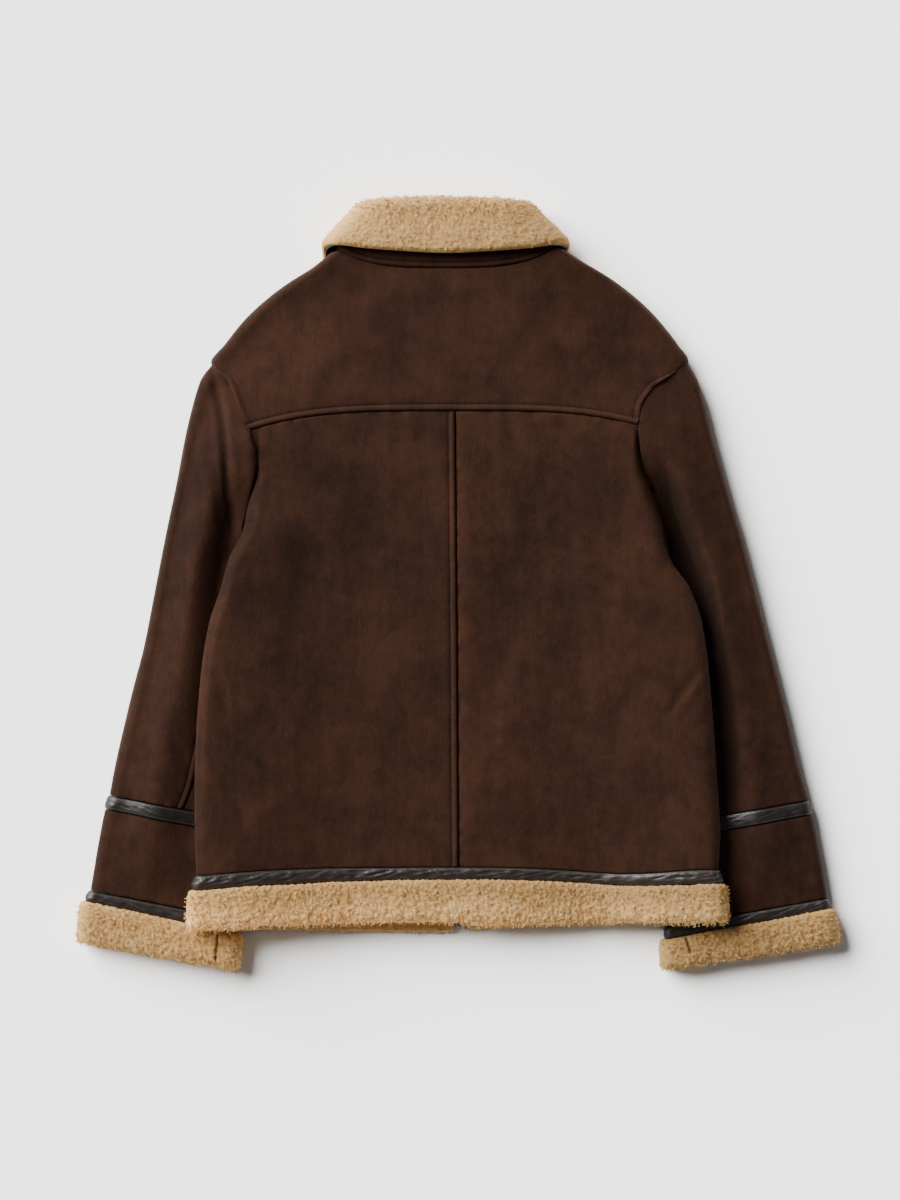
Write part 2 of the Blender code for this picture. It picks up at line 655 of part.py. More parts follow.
def make_hem():
    """Leather strip and fleece band of the back and of the two fronts."""
    half = spread(*BACK_STEPS, (1.0, 1.0 + CURL_CLOSED / 180.0, 6))
    around = np.concatenate([-half[:0:-1], half])
    gap = SEAM_GAP / STRIP_TALL
    strip = strip_profile(HEM_STRIP_TOP - gap, HEM_SEAM + gap)
    fleece = fleece_profile(HEM_SEAM - SEAM_GAP / FLEECE_TALL, HEM_END, FLEECE_OUT, FLEECE_IN)
    trim("hem_strip_back", whole_back, -1.0, strip, around, LEATHER)
    trim("hem_fleece_back", whole_back, -1.0, fleece, around, FLEECE)
    under = spread((FRONT_START, 2.0, 1), *FRONT_STEPS)
    for side in SIDES:
        sign = OUTWARDS[side]
        trim("hem_strip_front_" + side, half_body(side), sign, strip, under, LEATHER)
        trim("hem_fleece_front_" + side, half_body(side), sign, fleece, under, FLEECE)


# ---------------------------------------------------------------- sleeve pieces


def half_sleeve(side):
    """Surface of one sleeve in (station, around)."""
    return lambda station, around: sleeve(side, station, around)


def make_sleeve(side):
    """Top and under sleeve, strap, lower sleeve, cuff strip and cuff fleece of one arm."""
    rows = SLEEVE[side]
    flip = side == "right"
    gap = SEAM_GAP / HALF_SLEEVE
    upper = stations_between(rows, ARMHOLE_ROW, STRAP_TOP, ARMHOLE_GAP, SEAM_GAP)
    upper = np.insert(upper, 1, 0.5)
    elbow = ELBOW_TOP + (ELBOW_LOW[side] - ELBOW_TOP) * (upper[:, None] / STRAP_TOP) ** ELBOW_BEND
    edge = np.tile(spread((UNDER_SEAM - 4.0 + gap, 0.0, 1), (0.0, 1.0, 4)), (len(upper), 1))
    top = np.hstack([edge, 1.0 + (elbow - gap - 1.0) * spread((0.0, 1.0, 5))[1:]])
    edge = np.tile(spread((2.0, 3.0, 4), (3.0, UNDER_SEAM - gap, 3)), (len(upper), 1))
    under = np.hstack([elbow + gap + (2.0 - elbow - gap) * spread((0.0, 1.0, 2))[:-1], edge])
    panel("sleeve_top_" + side, sleeve(side, upper[:, None], top), flip)
    panel("sleeve_under_" + side, sleeve(side, upper[:, None], under), flip)
    lower = stations_between(rows, STRAP_LOW, CUFF_STRIP_TOP, SEAM_GAP, SEAM_GAP)
    lower = np.insert(lower, 2, CUFF_STRIP_TOP - 0.5)
    ring = spread((0.0, 1.0, 4), (1.0, 2.0, 8), (2.0, 3.0, 4), (3.0, 4.0, 4))[:-1]
    panel("sleeve_lower_" + side, sleeve(side, lower[:, None], ring), flip, tube=True)

    surface = half_sleeve(side)
    sign = OUTWARDS[side]
    gap = SEAM_GAP / STRIP_TALL
    strap = strip_profile(STRAP_TOP + gap, STRAP_LOW - gap)
    strip = strip_profile(CUFF_STRIP_TOP + gap, CUFF_SEAM - gap)
    fleece = fleece_profile(CUFF_SEAM + SEAM_GAP / FLEECE_TALL, CUFF_END, FLEECE_OUT, FLEECE_IN)
    trim("strap_" + side, surface, sign, strap, ring, LEATHER, ring=True)
    trim("cuff_strip_" + side, surface, sign, strip, ring, LEATHER, ring=True)
    trim("cuff_fleece_" + side, surface, sign, fleece, ring, FLEECE, ring=True)


# ---------------------------------------------------------------- collar pieces


def collar_band(name, profile, finish):
    """Profile carried round the collar from one front edge to the other.

    profile rows are (along, cloth, pile): the place on the cloth line, then the distance off
    it as millimetres plus a share of the pile's height.
    """
    stations = spread((0.0, 3.0, 3), (3.0, 7.0, 8), (7.0, 11.0, 4), (11.0, 15.0, 8), (15.0, 18.0, 3))
    deep = columns(COLLAR, stations).pile
    rings = []
    for along, cloth, pile in profile:
        normal = normals(collar, stations, np.full_like(stations, along))
        rings.append(collar(stations, along) + (cloth + pile * deep)[:, None] * normal)
    return carried(name, np.stack(rings), finish)


def make_collar():
    """Collar stand, undercollar and the pile that covers the fall and its fold."""
    collar_band("collar_fleece", [
        (0.0, PILE_GAP, 0.0), (0.0, 0.0, 0.55), (0.12, 0.0, 0.9), (0.5, 0.0, 1.0), (0.92, 0.0, 1.0),
        (1.25, 0.0, 1.0), (1.5, 0.0, 0.75), (1.8, 0.0, 0.4), (2.05, PILE_GAP, 0.25),
        (2.05, PILE_GAP, 0.0), (1.7, PILE_GAP, 0.0), (1.3, PILE_GAP, 0.0), (0.95, PILE_GAP, 0.0),
    ], FLEECE)
    collar_band("collar_under", [
        (0.02, -LINING_GAP, 0.0), (0.93, -LINING_GAP, 0.0),
        (0.93, -LINING_GAP - UNDERCOLLAR, 0.0), (0.02, -LINING_GAP - UNDERCOLLAR, 0.0),
    ], LEATHER)
    collar_band("collar_stand", [
        (2.08, -LINING_GAP, 0.0), (2.98, -LINING_GAP, 0.0),
        (2.98, -LINING_GAP - CLOTH, 0.0), (2.08, -LINING_GAP - CLOTH, 0.0),
    ], SUEDE)


# ---------------------------------------------------------------- centre front closure


def zip_line(ends):
    """Places along the centre front, with the height of the front panels there."""
    stations = np.array(ZIP_STATIONS, dtype=float)
    y = columns(BODY_OUTLINE, stations).front_y
    z = columns(BODY_RISE, stations).rest + collar_lift(np.zeros_like(y), y)
    places = np.array([ends[0], *y[(y > ends[0] + 2.0) & (y < ends[1] - 2.0)], ends[1]])
    return places, np.interp(places, y, z)


def zip_strip(name, ends, across, up, finish):
    """Flat strip along the centre front, between two distances across and two heights."""
    y, z = zip_line(ends)
    corners = ((across[0], up[0]), (across[1], up[0]), (across[1], up[1]), (across[0], up[1]))
    sections = [np.stack([np.full_like(y, x), y, z + height], axis=-1) for x, height in corners]
    carried(name, np.stack(sections), finish)


def make_zip():
    """Two tapes, one strip for the rows of teeth, the slider with its tab, and the end box."""
    for side, sign in (("left", -1.0), ("right", 1.0)):
        across = (sign * TAPE_START, sign * (TAPE_START + TAPE_WIDE))
        levels = (TAPE_LOW, TAPE_LOW + TAPE)
        zip_strip("zip_tape_" + side, (TAPE_LOW_Y, ZIP_TOP_Y), across, levels, TAPE_CLOTH)
    across = (-TEETH_HALF, TEETH_HALF)
    levels = (TEETH_LOW, TEETH_LOW + TEETH_THICK)
    zip_strip("zip_teeth", (ZIP_LOW_Y, ZIP_TOP_Y), across, levels, METAL)
    levels = (TEETH_LOW - 0.5 * BOX_THICK, TEETH_LOW + 0.5 * BOX_THICK)
    zip_strip("zip_box", (BOX_LOW_Y, ZIP_LOW_Y - SEAM_GAP), across, levels, METAL)

    top = TEETH_LOW - SEAM_GAP + COLLAR_LIFT
    low = top - SLIDER_THICK
    tail = ZIP_TOP_Y - SLIDER_LONG
    outline = [
        (ZIP_TOP_Y, top), (tail, top), (tail, low), (ZIP_TOP_Y - TAB_LONG, low),
        (ZIP_TOP_Y - TAB_LONG, low - TAB_THICK), (ZIP_TOP_Y, low - TAB_THICK),
    ]
    sections = [[(-SLIDER_HALF, y, z), (SLIDER_HALF, y, z)] for y, z in outline]
    carried("zip_slider", np.array(sections), METAL)


# ---------------------------------------------------------------- whole jacket


def clear_scene():
    """Remove whatever the file held."""
    for thing in list(bpy.data.objects):
        bpy.data.objects.remove(thing, do_unlink=True)


def new_collection(name):
    """Collection linked to the scene."""
    made = bpy.data.collections.new(name)
    bpy.context.scene.collection.children.link(made)
    return made


clear_scene()
PARTS = new_collection("shearling_jacket")
make_yoke()
for one_side in SIDES:
    make_back(one_side)
    make_front(one_side)
    make_sleeve(one_side)
make_hem()
make_collar()
make_zip()
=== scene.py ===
"""Suede shearling jacket, lying face down with its back upwards.

Every panel is a thin wall that follows one of three surfaces: the body, a flattened tube whose
sides lie over the sleeves; the two sleeves, flattened tubes that fan out from the armholes; and
the collar, a strip that runs round the neck and folds over itself. The tables give those
surfaces in millimetres, with the collar towards +Y and the floor at z = 0.
"""

import json
from collections import namedtuple
from functools import partial

import bpy
import numpy as np
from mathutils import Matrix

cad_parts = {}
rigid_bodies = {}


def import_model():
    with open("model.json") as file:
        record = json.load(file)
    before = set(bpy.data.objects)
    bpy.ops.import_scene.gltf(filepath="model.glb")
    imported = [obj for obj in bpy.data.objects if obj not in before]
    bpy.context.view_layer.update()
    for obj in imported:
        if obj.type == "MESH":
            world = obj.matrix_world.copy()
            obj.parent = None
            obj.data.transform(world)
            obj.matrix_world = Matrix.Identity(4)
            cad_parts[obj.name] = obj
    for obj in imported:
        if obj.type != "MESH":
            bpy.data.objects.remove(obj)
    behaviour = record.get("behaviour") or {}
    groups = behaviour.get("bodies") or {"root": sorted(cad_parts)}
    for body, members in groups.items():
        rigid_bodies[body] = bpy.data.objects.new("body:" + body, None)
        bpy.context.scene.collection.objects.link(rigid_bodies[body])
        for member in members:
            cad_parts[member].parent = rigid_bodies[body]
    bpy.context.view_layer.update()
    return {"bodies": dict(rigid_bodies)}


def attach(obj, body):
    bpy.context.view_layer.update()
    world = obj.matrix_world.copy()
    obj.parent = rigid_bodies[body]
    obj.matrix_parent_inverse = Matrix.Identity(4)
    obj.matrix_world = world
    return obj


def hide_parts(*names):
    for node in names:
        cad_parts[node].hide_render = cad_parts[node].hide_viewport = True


bl_info = {
    "name": "Shearling jacket",
    "version": (1, 0, 0),
    "blender": (4, 5, 0),
    "location": "3D View > Sidebar > Jacket",
    "description": "Builds a suede shearling jacket lying face down",
    "category": "Add Mesh",
}

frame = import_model()
BODY = next(iter(frame["bodies"]))
MM = 0.001

# Middle of the whole outline on the tables' axes; it is the origin of the frame
MIDDLE = np.array((-0.15, 0.15, 0.0))

# Thicknesses and gaps of the body's make, in millimetres
CLOTH = 2.4
STRIP_OUT = 0.8
FLEECE_OUT = 6.0
FLEECE_IN = 4.0
SEAM_GAP = 0.35

# Part of a station that a sleeve runs on under the body, and how far below it
SLEEVE_TUCK = 0.28
TUCK_DEEP = 1.3

# How far the left sleeve's inner edge runs on under the body, the height where it is most, and
# the distance over which it fades
INNER_TUCK = 4.0
INNER_TUCK_Y = 85.0
INNER_TUCK_FADE = 45.0

# Side fold of the body: how far the back panel wraps round it, in degrees
CURL_OPEN = 25.0
CURL_CLOSED = 150.0
FRONT_EDGE = 162.5

# The front panels are lifted over the collar, which lies under them near the neck: how far, and
# where that begins up the jacket and ends across it
COLLAR_LIFT = 13.0
COLLAR_LIFT_Y = (150.0, 205.0)
COLLAR_LIFT_X = (138.0, 178.0)

# The body's underside rises within this width, and is up this far past the sleeve's inner edge
PAD_RISE = 30.0
PAD_PAST = 4.0

# Share of its radius that an open side fold takes, part of the back that lies flat across, how
# sharply its rows dip towards the sides, and where between centre and side their sag is deepest
FOLD_OPEN = 0.15
BACK_FLAT = 0.35
NECK_DIP = 3.5
SAG_PLACE = 1.6

# How far the back sinks between the sleeves near the hem, and how much more on its right half
HEM_SINK = 0.5
HEM_SINK_X = (150.0, 235.0)
HEM_SINK_Y = (-335.0, -190.0)
HEM_SINK_RIGHT = 10.0
HEM_SINK_RIGHT_X = 150.0
HEM_SINK_RIGHT_WIDE = 55.0

# Centre front closure: heights are above the outer face of the front panels
TEETH_HALF = 3.4
TEETH_LOW = 2.0
TEETH_THICK = 2.2
TAPE_START = 3.7
TAPE_WIDE = 15.0
TAPE_LOW = 2.7
TAPE_THICK = 1.0
TAPE_RIB = 0.12
TAPE_RIB_WIDE = 2.7
ZIP_TOP_Y = 244.0
ZIP_LOW_Y = -341.0
TAPE_LOW_Y = -308.0
BOX_LOW_Y = -353.0
SLIDER_LONG = 13.0
SLIDER_THICK = 2.0
TAB_LONG = 32.0
TAB_THICK = 1.6
TAPE_ROW = 5.0
TOOTH_PITCH = 2.9
TEETH_END = 6.0
FIRST_TOOTH = 1.4
BOX_HALF_THICK = 2.2

# Rings of a tooth from the tape to its tip: reach from the middle, half-length, and inset
TOOTH_RINGS = ((TEETH_HALF, 0.75, 0.25), (0.9, 0.75, 0.25), (-0.5, 0.52, 0.35), (-1.0, 0.35, 0.6))

# Body outline, one row per station from the hem to the neck: left edge, centre line, right edge,
# the centre front, and how far each half of the back sags between its centre and its side
Outline = namedtuple(
    "Outline",
    "left_x left_y mid_x mid_y right_x right_y front_left front_right front_y left_sag right_sag",
    defaults=(0, 0),
)
BODY_OUTLINE = [Outline(*row) for row in (
    (-273, -353, 0.8, -350, 271, -346, 4, 4, -356, 2, -2),  # hem end
    (-272, -314, 0.7, -304, 270, -308, 4, 4, -309, 2, 5.5),  # hem fleece seam
    (-269, -298, 0.6, -290.5, 267, -292, 4, 4, -295, 0, 6),  # top of the hem strip
    (-271, -253, 0.3, -250, 269, -254, 4, 4, -252, 0, 2.5),
    (-271, -203, 0, -200, 266, -204, 4, 4, -202),
    (-269, -145, -0.4, -144, 262, -145, 4, 4, -145),
    (-263, -78, -0.8, -78, 256, -77, 4, 4, -78),
    (-256, -39, -1.1, -39, 250, -38, 4, 4, -39),
    (-245, -6, -1.4, -4, 238, -4, 4, 4, -5),
    (-236, 26, -1.7, 26, 219, 25, 4, 4, 24),
    (-221, 58, -2, 57, 212, 57, 4, 4, 54),
    (-217, 83, -2.2, 84, 203, 85, 4, 4, 80),
    (-210, 116, -2.5, 116, 190.6, 119, 4, 4, 108),
    (-210, 138, -2.8, 148, 186, 145, 4, 4, 134),
    (-216, 158, -3.1, 178, 186, 164, 4, 4, 160),  # yoke seam
    (-225, 178, -4, 197, 187, 180, 4, 4, 182),
    (-236, 207, -5, 222, 200, 202, 4, 4, 205),
    (-255, 229, -6, 247, 237, 230, 4, 4, 228),  # shoulder point
    (-241, 248, -7, 266, 226, 248, 5, 5, 250),
    (-217, 277, -7, 288, 197, 283, 50, 46, 262),
    (-180, 308, -7, 306, 162, 312, 88, 76, 285),
    (-148, 328, -9, 318, 127, 333, 108, 88, 311),
    (-130, 343, -12, 325, 107, 346, 114.4, 91.2, 333),  # neck
)]
HEM_END = 0
HEM_SEAM = 1
HEM_STRIP_TOP = 2
YOKE_SEAM = 14
NECK = 22

# Body heights at the same stations: undersides and tops at the sides, top of the centre,
# how closed each side fold is, and how far the trim lifts the underside off the surface
Rise = namedtuple(
    "Rise", "left_base left_top mid_top right_base right_top left_curl right_curl rest",
    defaults=(0,),
)
BODY_RISE = [Rise(*row) for row in (
    (34, 47, 29, 34, 47, 1, 1, 6.1),
    (34, 47, 30, 34, 47, 1, 1, 6.1),
    (31, 47, 31, 31, 47, 1, 1, 5.5),
    (22.5, 47, 33, 22.5, 47, 1, 1, 0.5),
    (21.5, 47, 35, 21.5, 47, 1, 1),
    (21.5, 47, 37, 21.5, 47, 1, 1),
    (21.5, 47, 39, 21.5, 47, 1, 1),
    (21.5, 47, 40, 21.5, 47, 1, 1),
    (21.5, 46, 40, 21.5, 46, 1, 1),
    (21.5, 45, 40, 17, 44, 1, 1),
    (12, 43, 40, 8, 42, 1, 1),
    (4, 40, 40, 2, 40, 0.8, 0.8),
    (0, 38, 40, 0, 39, 0.4, 0.5),
    (0, 37, 39, 0, 38, 0.15, 0.3),
    (0, 35, 38, 0, 36, 0, 0.15),
    (0, 33, 38, 0, 34, 0, 0),
    (0, 29, 37, 0, 30, 0, 0),
    (0, 24, 36, 0, 24, 0.5, 0.5),
    (0, 24, 35, 0, 24, 1, 1),
    (0, 26, 34, 0, 26, 1, 1),
    (0, 29, 33, 0, 29, 1, 1),
    (0, 31, 31, 0, 31, 1, 1),
    (0, 30, 29, 0, 30, 1, 1),
)]

# Armhole seams, from the shoulder point down to the underarm
ARMHOLE = {
    "left": [
        (-255, 226), (-237, 206), (-224, 177), (-215, 152), (-210, 133), (-210, 121), (-214, 107),
        (-218, 89), (-222, 62), (-224, 33), (-225, 0),
    ],
    "right": [
        (237, 228), (222, 218), (207, 207), (194, 190), (187, 171), (186, 157), (187, 138),
        (191, 118), (200, 97), (208, 75), (215, 50), (220, 24), (224, -6),
    ],
}

# Sleeve sections from the armhole to the cuff: outer edge, inner edge, heights of the outer
# edge, of the crown and of the part under the body, where that part begins, and the underside
Sleeve = namedtuple(
    "Sleeve", "outer_x outer_y inner_x inner_y outer_top crown_top inner_top press base"
)
SLEEVE_ROWS = {
    "left": [
        (-255, 226, -225, 0, 24, 37, 18, 0.74, 0),  # armhole
        (-265.5, 212, -225, -14, 24, 37, 18, 0.72, 0),
        (-280.5, 159, -225, -38, 25, 37, 18, 0.70, 0),
        (-291, 104, -225, -64, 25, 36, 18, 0.66, 0),
        (-301.5, 54, -225, -92, 25, 35, 19, 0.66, 0),
        (-313, -5, -225, -125, 25, 34, 19, 0.66, 0),
        (-324.8, -65, -224, -158, 24, 33, 19, 0.66, 0),
        (-336, -108, -224, -186, 24, 32, 19, 0.66, 0),
        (-354, -185, -223, -226, 24, 31, 19, 0.66, 0.5),
        (-360.3, -217, -223, -243, 23, 30, 19, 0.68, 0.9),  # strap top
        (-364.5, -231, -223, -260, 23, 30, 19, 0.68, 0.9),  # strap bottom
        (-373, -275, -224, -304, 22, 27, 19, 0.70, 1),
        (-380, -315, -227, -345, 21, 22, 20, 0.70, 6),  # cuff strip top
        (-384.5, -327, -228, -359, 21, 21, 21, 0.70, 6.1),  # cuff fleece seam
        (-388, -368, -230, -397, 21, 21, 21, 0.70, 6.1),  # cuff end
    ],
    "right": [
        (237, 228, 224, -6, 24, 36, 18, 0.66, 0),
        (248.5, 206, 224, -18, 24, 36, 18, 0.64, 0),
        (261.8, 155, 224, -45, 25, 36, 18, 0.62, 0),
        (279, 94, 223, -72, 25, 35, 18, 0.62, 0),
        (291.5, 52, 223, -98, 25, 34, 19, 0.62, 0),
        (305, 0, 222, -128, 25, 33, 19, 0.62, 0),
        (321.5, -64, 220, -168, 24, 32, 19, 0.62, 0),
        (333.5, -110, 218, -196, 24, 31, 19, 0.62, 0),
        (351, -185, 216, -234, 24, 30, 19, 0.62, 0.5),
        (361, -222, 214, -248, 23, 29, 19, 0.62, 0.9),
        (365, -237, 213, -265, 23, 29, 19, 0.62, 0.9),
        (373, -277, 212, -308, 22, 27, 19, 0.64, 1),
        (380.5, -323, 213, -353, 21, 22, 20, 0.66, 6),
        (383, -335, 213, -366, 21, 21, 21, 0.66, 6.1),
        (388, -369, 214, -396, 21, 21, 21, 0.66, 6.1),
    ],
}
SLEEVE = {side: [Sleeve(*row) for row in rows] for side, rows in SLEEVE_ROWS.items()}
ARMHOLE_ROW = 0
STRAP_TOP = 9
STRAP_LOW = 10
CUFF_STRIP_TOP = 12
CUFF_SEAM = 13
CUFF_END = 14
CROWN_AT = 0.36
ELBOW_TOP = 1.88
ELBOW_BEND = 1.5
ELBOW_LOW = {"left": 1.56, "right": 1.7}
UNDER_SEAM = 3.8
ARMHOLE_FADE = 4.0

# Collar stations from the centre front round the left side of the neck, over the back and down
# the right side: neck seam, fold line and outer rim of the fall
Collar = namedtuple(
    "Collar", "seam_x seam_y seam_z fold_x fold_y fold_z rim_x rim_y rim_z pile"
)
COLLAR = [Collar(*row) for row in (
    (-5, 252.5, 15.7, -5, 300, 10, -14, 236, 7, 6.3),  # left front edge
    (-49, 264.5, 15.7, -46, 312, 10, -66, 212, 7, 6.3),  # left point
    (-86, 288, 15.7, -72, 336, 10, -112, 240, 7, 6.3),
    (-106, 313, 15.7, -90, 358, 10, -131, 290, 7, 6.3),
    (-113, 336, 16.5, -96, 374, 11, -139, 328, 8, 6.5),
    (-124, 348, 22.5, -101, 379, 18, -138, 345, 17, 8.0),  # left side
    (-114, 339, 26.5, -92, 383.5, 28, -124, 348, 32.5, 9.0),
    (-84, 330, 26.5, -71, 386.5, 30, -96, 345, 34, 9.0),
    (-48, 326.8, 26.5, -43, 387.3, 30, -56, 342, 34, 9.0),
    (-12, 326, 26.3, -12, 387.3, 30, -12, 340, 34, 9.0),  # centre back
    (24, 326.8, 26.5, 15, 387, 30, 32, 342, 34, 9.0),
    (60, 331, 26.5, 41, 386, 30, 72, 345, 34, 9.0),
    (91, 341, 26.5, 63, 383, 28, 99, 348, 32.5, 9.0),
    (99, 350, 22.5, 71, 380, 18, 112, 346, 17, 8.0),  # right side
    (90, 338, 16.5, 66, 374.5, 11, 111, 329, 8, 6.5),
    (84, 314, 15.7, 62, 358, 10, 106, 290, 7, 6.3),
    (72, 288, 15.7, 50, 336, 10, 90, 240, 7, 6.3),
    (45, 264.5, 15.7, 36, 312, 10, 56, 212, 7, 6.3),  # right point
    (5, 252.5, 15.7, 5, 300, 10, 14, 236, 7, 6.3),  # right front edge
)]
COLLAR_CORE = 3.4
UNDERCOLLAR = 1.6
LINING_GAP = 0.3

# Stations of the collar between which it shows beyond the body
COLLAR_SHOWS = (3.4, 14.6)

# Outline of the collar's pile: place on the cloth line, then distance off it as millimetres plus a
# share of the pile's height. The first nine are its outer side.
COLLAR_PILE = [
    (0.0, 0.0, 0.55), (0.12, 0.0, 0.92), (0.5, 0.0, 1.0), (0.92, 0.0, 1.0), (1.25, 0.0, 1.0),
    (1.5, 0.0, 0.78), (1.8, 0.0, 0.42), (2.05, 0.5, 0.2), (2.05, 0.5, 0.0), (1.7, 0.5, 0.0),
    (1.3, 0.5, 0.0), (0.95, 0.5, 0.0), (0.5, 0.5, 0.0), (0.0, 0.5, 0.0),
]
COLLAR_OUTER = 8.0

# From the collar stand's seam up to its stitch line
STAND_WELT = 5.6

# The left half of the back's fleece ends this far above its solid and the left front's this far
# below, so that the front's shows, and this is where that begins and ends across the jacket
FRONT_PEEKS = 3.5
FRONT_LOWER = 2.5
FRONT_PEEKS_FROM_X = (-232.0, -200.0)
FRONT_PEEKS_TO_X = (4.0, 16.0)

# Painted light on each band of fleece: brightness in its middle, and its change over 100 mm to the
# right, lighter on the left towards the key light and darker on the right cuff
PILE_LIGHT = {
    "hem_pile_back": (0.97, -0.08), "collar_pile": (0.88, -0.11), "cuff_pile_left": (0.89, 0.0),
    "cuff_pile_right": (0.67, 0.0), "hem_pile_front_left": (0.85, 0.0),
}

# The same for the bands that aren't seen from above
PLAIN_LIGHT = (0.75, 0.0)

# Openings of the cuffs' fleece, as lines on the table's axes
CUFF_SLITS = {
    "cuff_pile_left": ((-247.7, -354), (-248.2, -370), (-250, -386)),
    "cuff_pile_right": ((232.5, -358), (235.5, -368), (238.4, -379)),
}

# Areas where the suede is made darker or lighter: how much, half-width, half-height, and its middle
TONE_AREAS = (
    (-0.30, 60, 95, -150, 60), (-0.22, 75, 120, 94, 10),
    (-0.15, 60, 60, 172, -205), (-0.28, 60, 60, 330, -290),
    (-0.22, 50, 90, 310, -150), (0.12, 60, 50, -330, -290),
    (0.10, 60, 40, -170, 240), (-0.16, 24, 120, -278, 110),
    # These two are painted light: they lighten the left sleeve beside the body, where it falls into
    # shade
    (0.25, 16, 50, -252, -30), (0.35, 15, 90, -264, -140),
)

HALF_BACK = 260.0
FLEECE_TALL = 40.0
BACK_END = 1.0 + CURL_CLOSED / 180.0
FRONT_START = 1.0 + FRONT_EDGE / 180.0
SIDES = ("left", "right")
OUTWARDS = {"left": 1.0, "right": -1.0}

# Each sheet of the jacket: the solid of the frame that it stands for, its flat width, length and
# area in metres, and the sheets that it lies on
Sheet = namedtuple("Sheet", "node width length area rests_on")
SHEETS = {
    "yoke": Sheet("back_yoke", 0.52, 0.20, 0.074, ["front_panel_left", "front_panel_right"]),
    "hem_leather_back": Sheet("hem_strip_back", 0.56, 0.0165, 0.0091,
                              ["hem_leather_front_left", "hem_leather_front_right"]),
    "hem_pile_back": Sheet("hem_fleece_back", 0.56, 0.052, 0.028,
                           ["hem_pile_front_left", "hem_pile_front_right"]),
    "collar_pile": Sheet("collar_fleece", 0.69, 0.094, 0.048, ["collar_underside"]),
    "collar_underside": Sheet("collar_under", 0.69, 0.074, 0.033, ["collar_stand_suede"]),
    "collar_stand_suede": Sheet("collar_stand", 0.55, 0.063, 0.026, ["floor"]),
}

# The same for the sheets that come in two sides: their solid, the cuts of both, and what they
# lie on if it isn't the floor
PAIRED_SHEETS = {
    "back_panel": ("back", (0.28, 0.53, 0.125), (0.27, 0.53, 0.122), "front_panel"),
    "front_panel": ("front", (0.29, 0.66, 0.143), (0.28, 0.66, 0.136)),
    "top_sleeve": ("sleeve_top", (0.17, 0.46, 0.058), (0.18, 0.47, 0.064), "under_sleeve"),
    "under_sleeve": ("sleeve_under", (0.13, 0.40, 0.039), (0.13, 0.40, 0.038)),
    "lower_sleeve": ("sleeve_lower", (0.27, 0.115, 0.0275), (0.30, 0.115, 0.0305)),
    "strap_leather": ("strap", (0.29, 0.018, 0.0050), (0.32, 0.018, 0.0055)),
    "cuff_leather": ("cuff_strip", (0.28, 0.0175, 0.0047), (0.285, 0.0175, 0.0048)),
    "cuff_pile": ("cuff_fleece", (0.30, 0.054, 0.0160), (0.28, 0.054, 0.0149)),
    "hem_leather_front": ("hem_strip_front", (0.27, 0.017, 0.0044), (0.27, 0.017, 0.0044)),
    "hem_pile_front": ("hem_fleece_front", (0.29, 0.052, 0.0145), (0.27, 0.052, 0.0135)),
    "zip_tape_cloth": ("zip_tape", (0.0165, 0.56, 0.0090), (0.0165, 0.56, 0.0090)),
}
for paired, (node, *cuts) in PAIRED_SHEETS.items():
    for side, cut in zip(SIDES, cuts):
        rests_on = [f"{under}_{side}" for under in cuts[2:]] or ["floor"]
        SHEETS[f"{paired}_{side}"] = Sheet(f"{node}_{side}", *cut, rests_on)


# Creases, listed on the table's axes: depth, half-width, height of the lip beside it as
# a share of its depth, and the line that it follows
Crease = namedtuple("Crease", "depth wide lip points")
BODY_CREASES = [Crease(*row) for row in (
    (1.7, 3.6, 0.6, ((252, -80), (236, -104), (211, -138))),
    (1.2, 3.4, 0.5, ((262, -125), (246, -149))),
    (0.9, 3, 0.5, ((240, -96), (226, -107), (218, -122))),
    (0.5, 5, 0.3, ((212, -190), (215, -233))),
    (1.2, 10, 0.4, ((127, -67), (125, -118), (129, -171))),
    (1, 14, 0.4, ((162, -113), (166, -171))),
    (0.7, 3, 0.5, ((12, 98), (28, 74), (42, 52))),
    (0.5, 2.6, 0.5, ((19, 103), (36, 80), (50, 60))),
    (0.5, 2.6, 0.5, ((8, 84), (22, 62), (32, 46))),
    (1.3, 14, 0.3, ((42, 37), (54, -17), (39, -94), (16, -125))),
    (0.9, 7, 0.4, ((34, -151), (44, -161))),
    (1.3, 2.6, 0.4, ((234, -280), (236, -293))),
    (0.7, 8, 0.4, ((78, 104), (74, 40))),
    (0.8, 12, 0.3, ((180, 60), (196, 0), (206, -46))),
    (1, 4.6, 0.5, ((-257, -83), (-244, -102), (-236, -137))),
    (1, 6, 0.5, ((-228, -163), (-204, -182), (-175, -210))),
    (0.9, 6, 0.4, ((-244, -190), (-236, -214), (-221, -244))),
    (0.7, 6, 0.4, ((-221, -225), (-225, -263))),
    (1.6, 20, 0.3, ((-159, 79), (-167, 6), (-182, -40))),
    (1, 10, 0.4, ((-205, -125), (-182, -156))),
    (0.9, 16, 0.3, ((-96, -210), (-70, -246), (-40, -268))),
    (0.8, 14, 0.3, ((-36, 120), (-30, 40))),
    (0.9, 4, 0.5, ((194, 231), (199, 195))),
    (0.7, 3, 0.5, ((203, 221), (203, 190))),
    (0.8, 4, 0.5, ((-223, 201), (-214, 190))),
    (0.9, 16, 0.3, ((150, 268), (168, 226), (164, 196))),
    (0.8, 14, 0.3, ((-150, 262), (-166, 222))),
)]
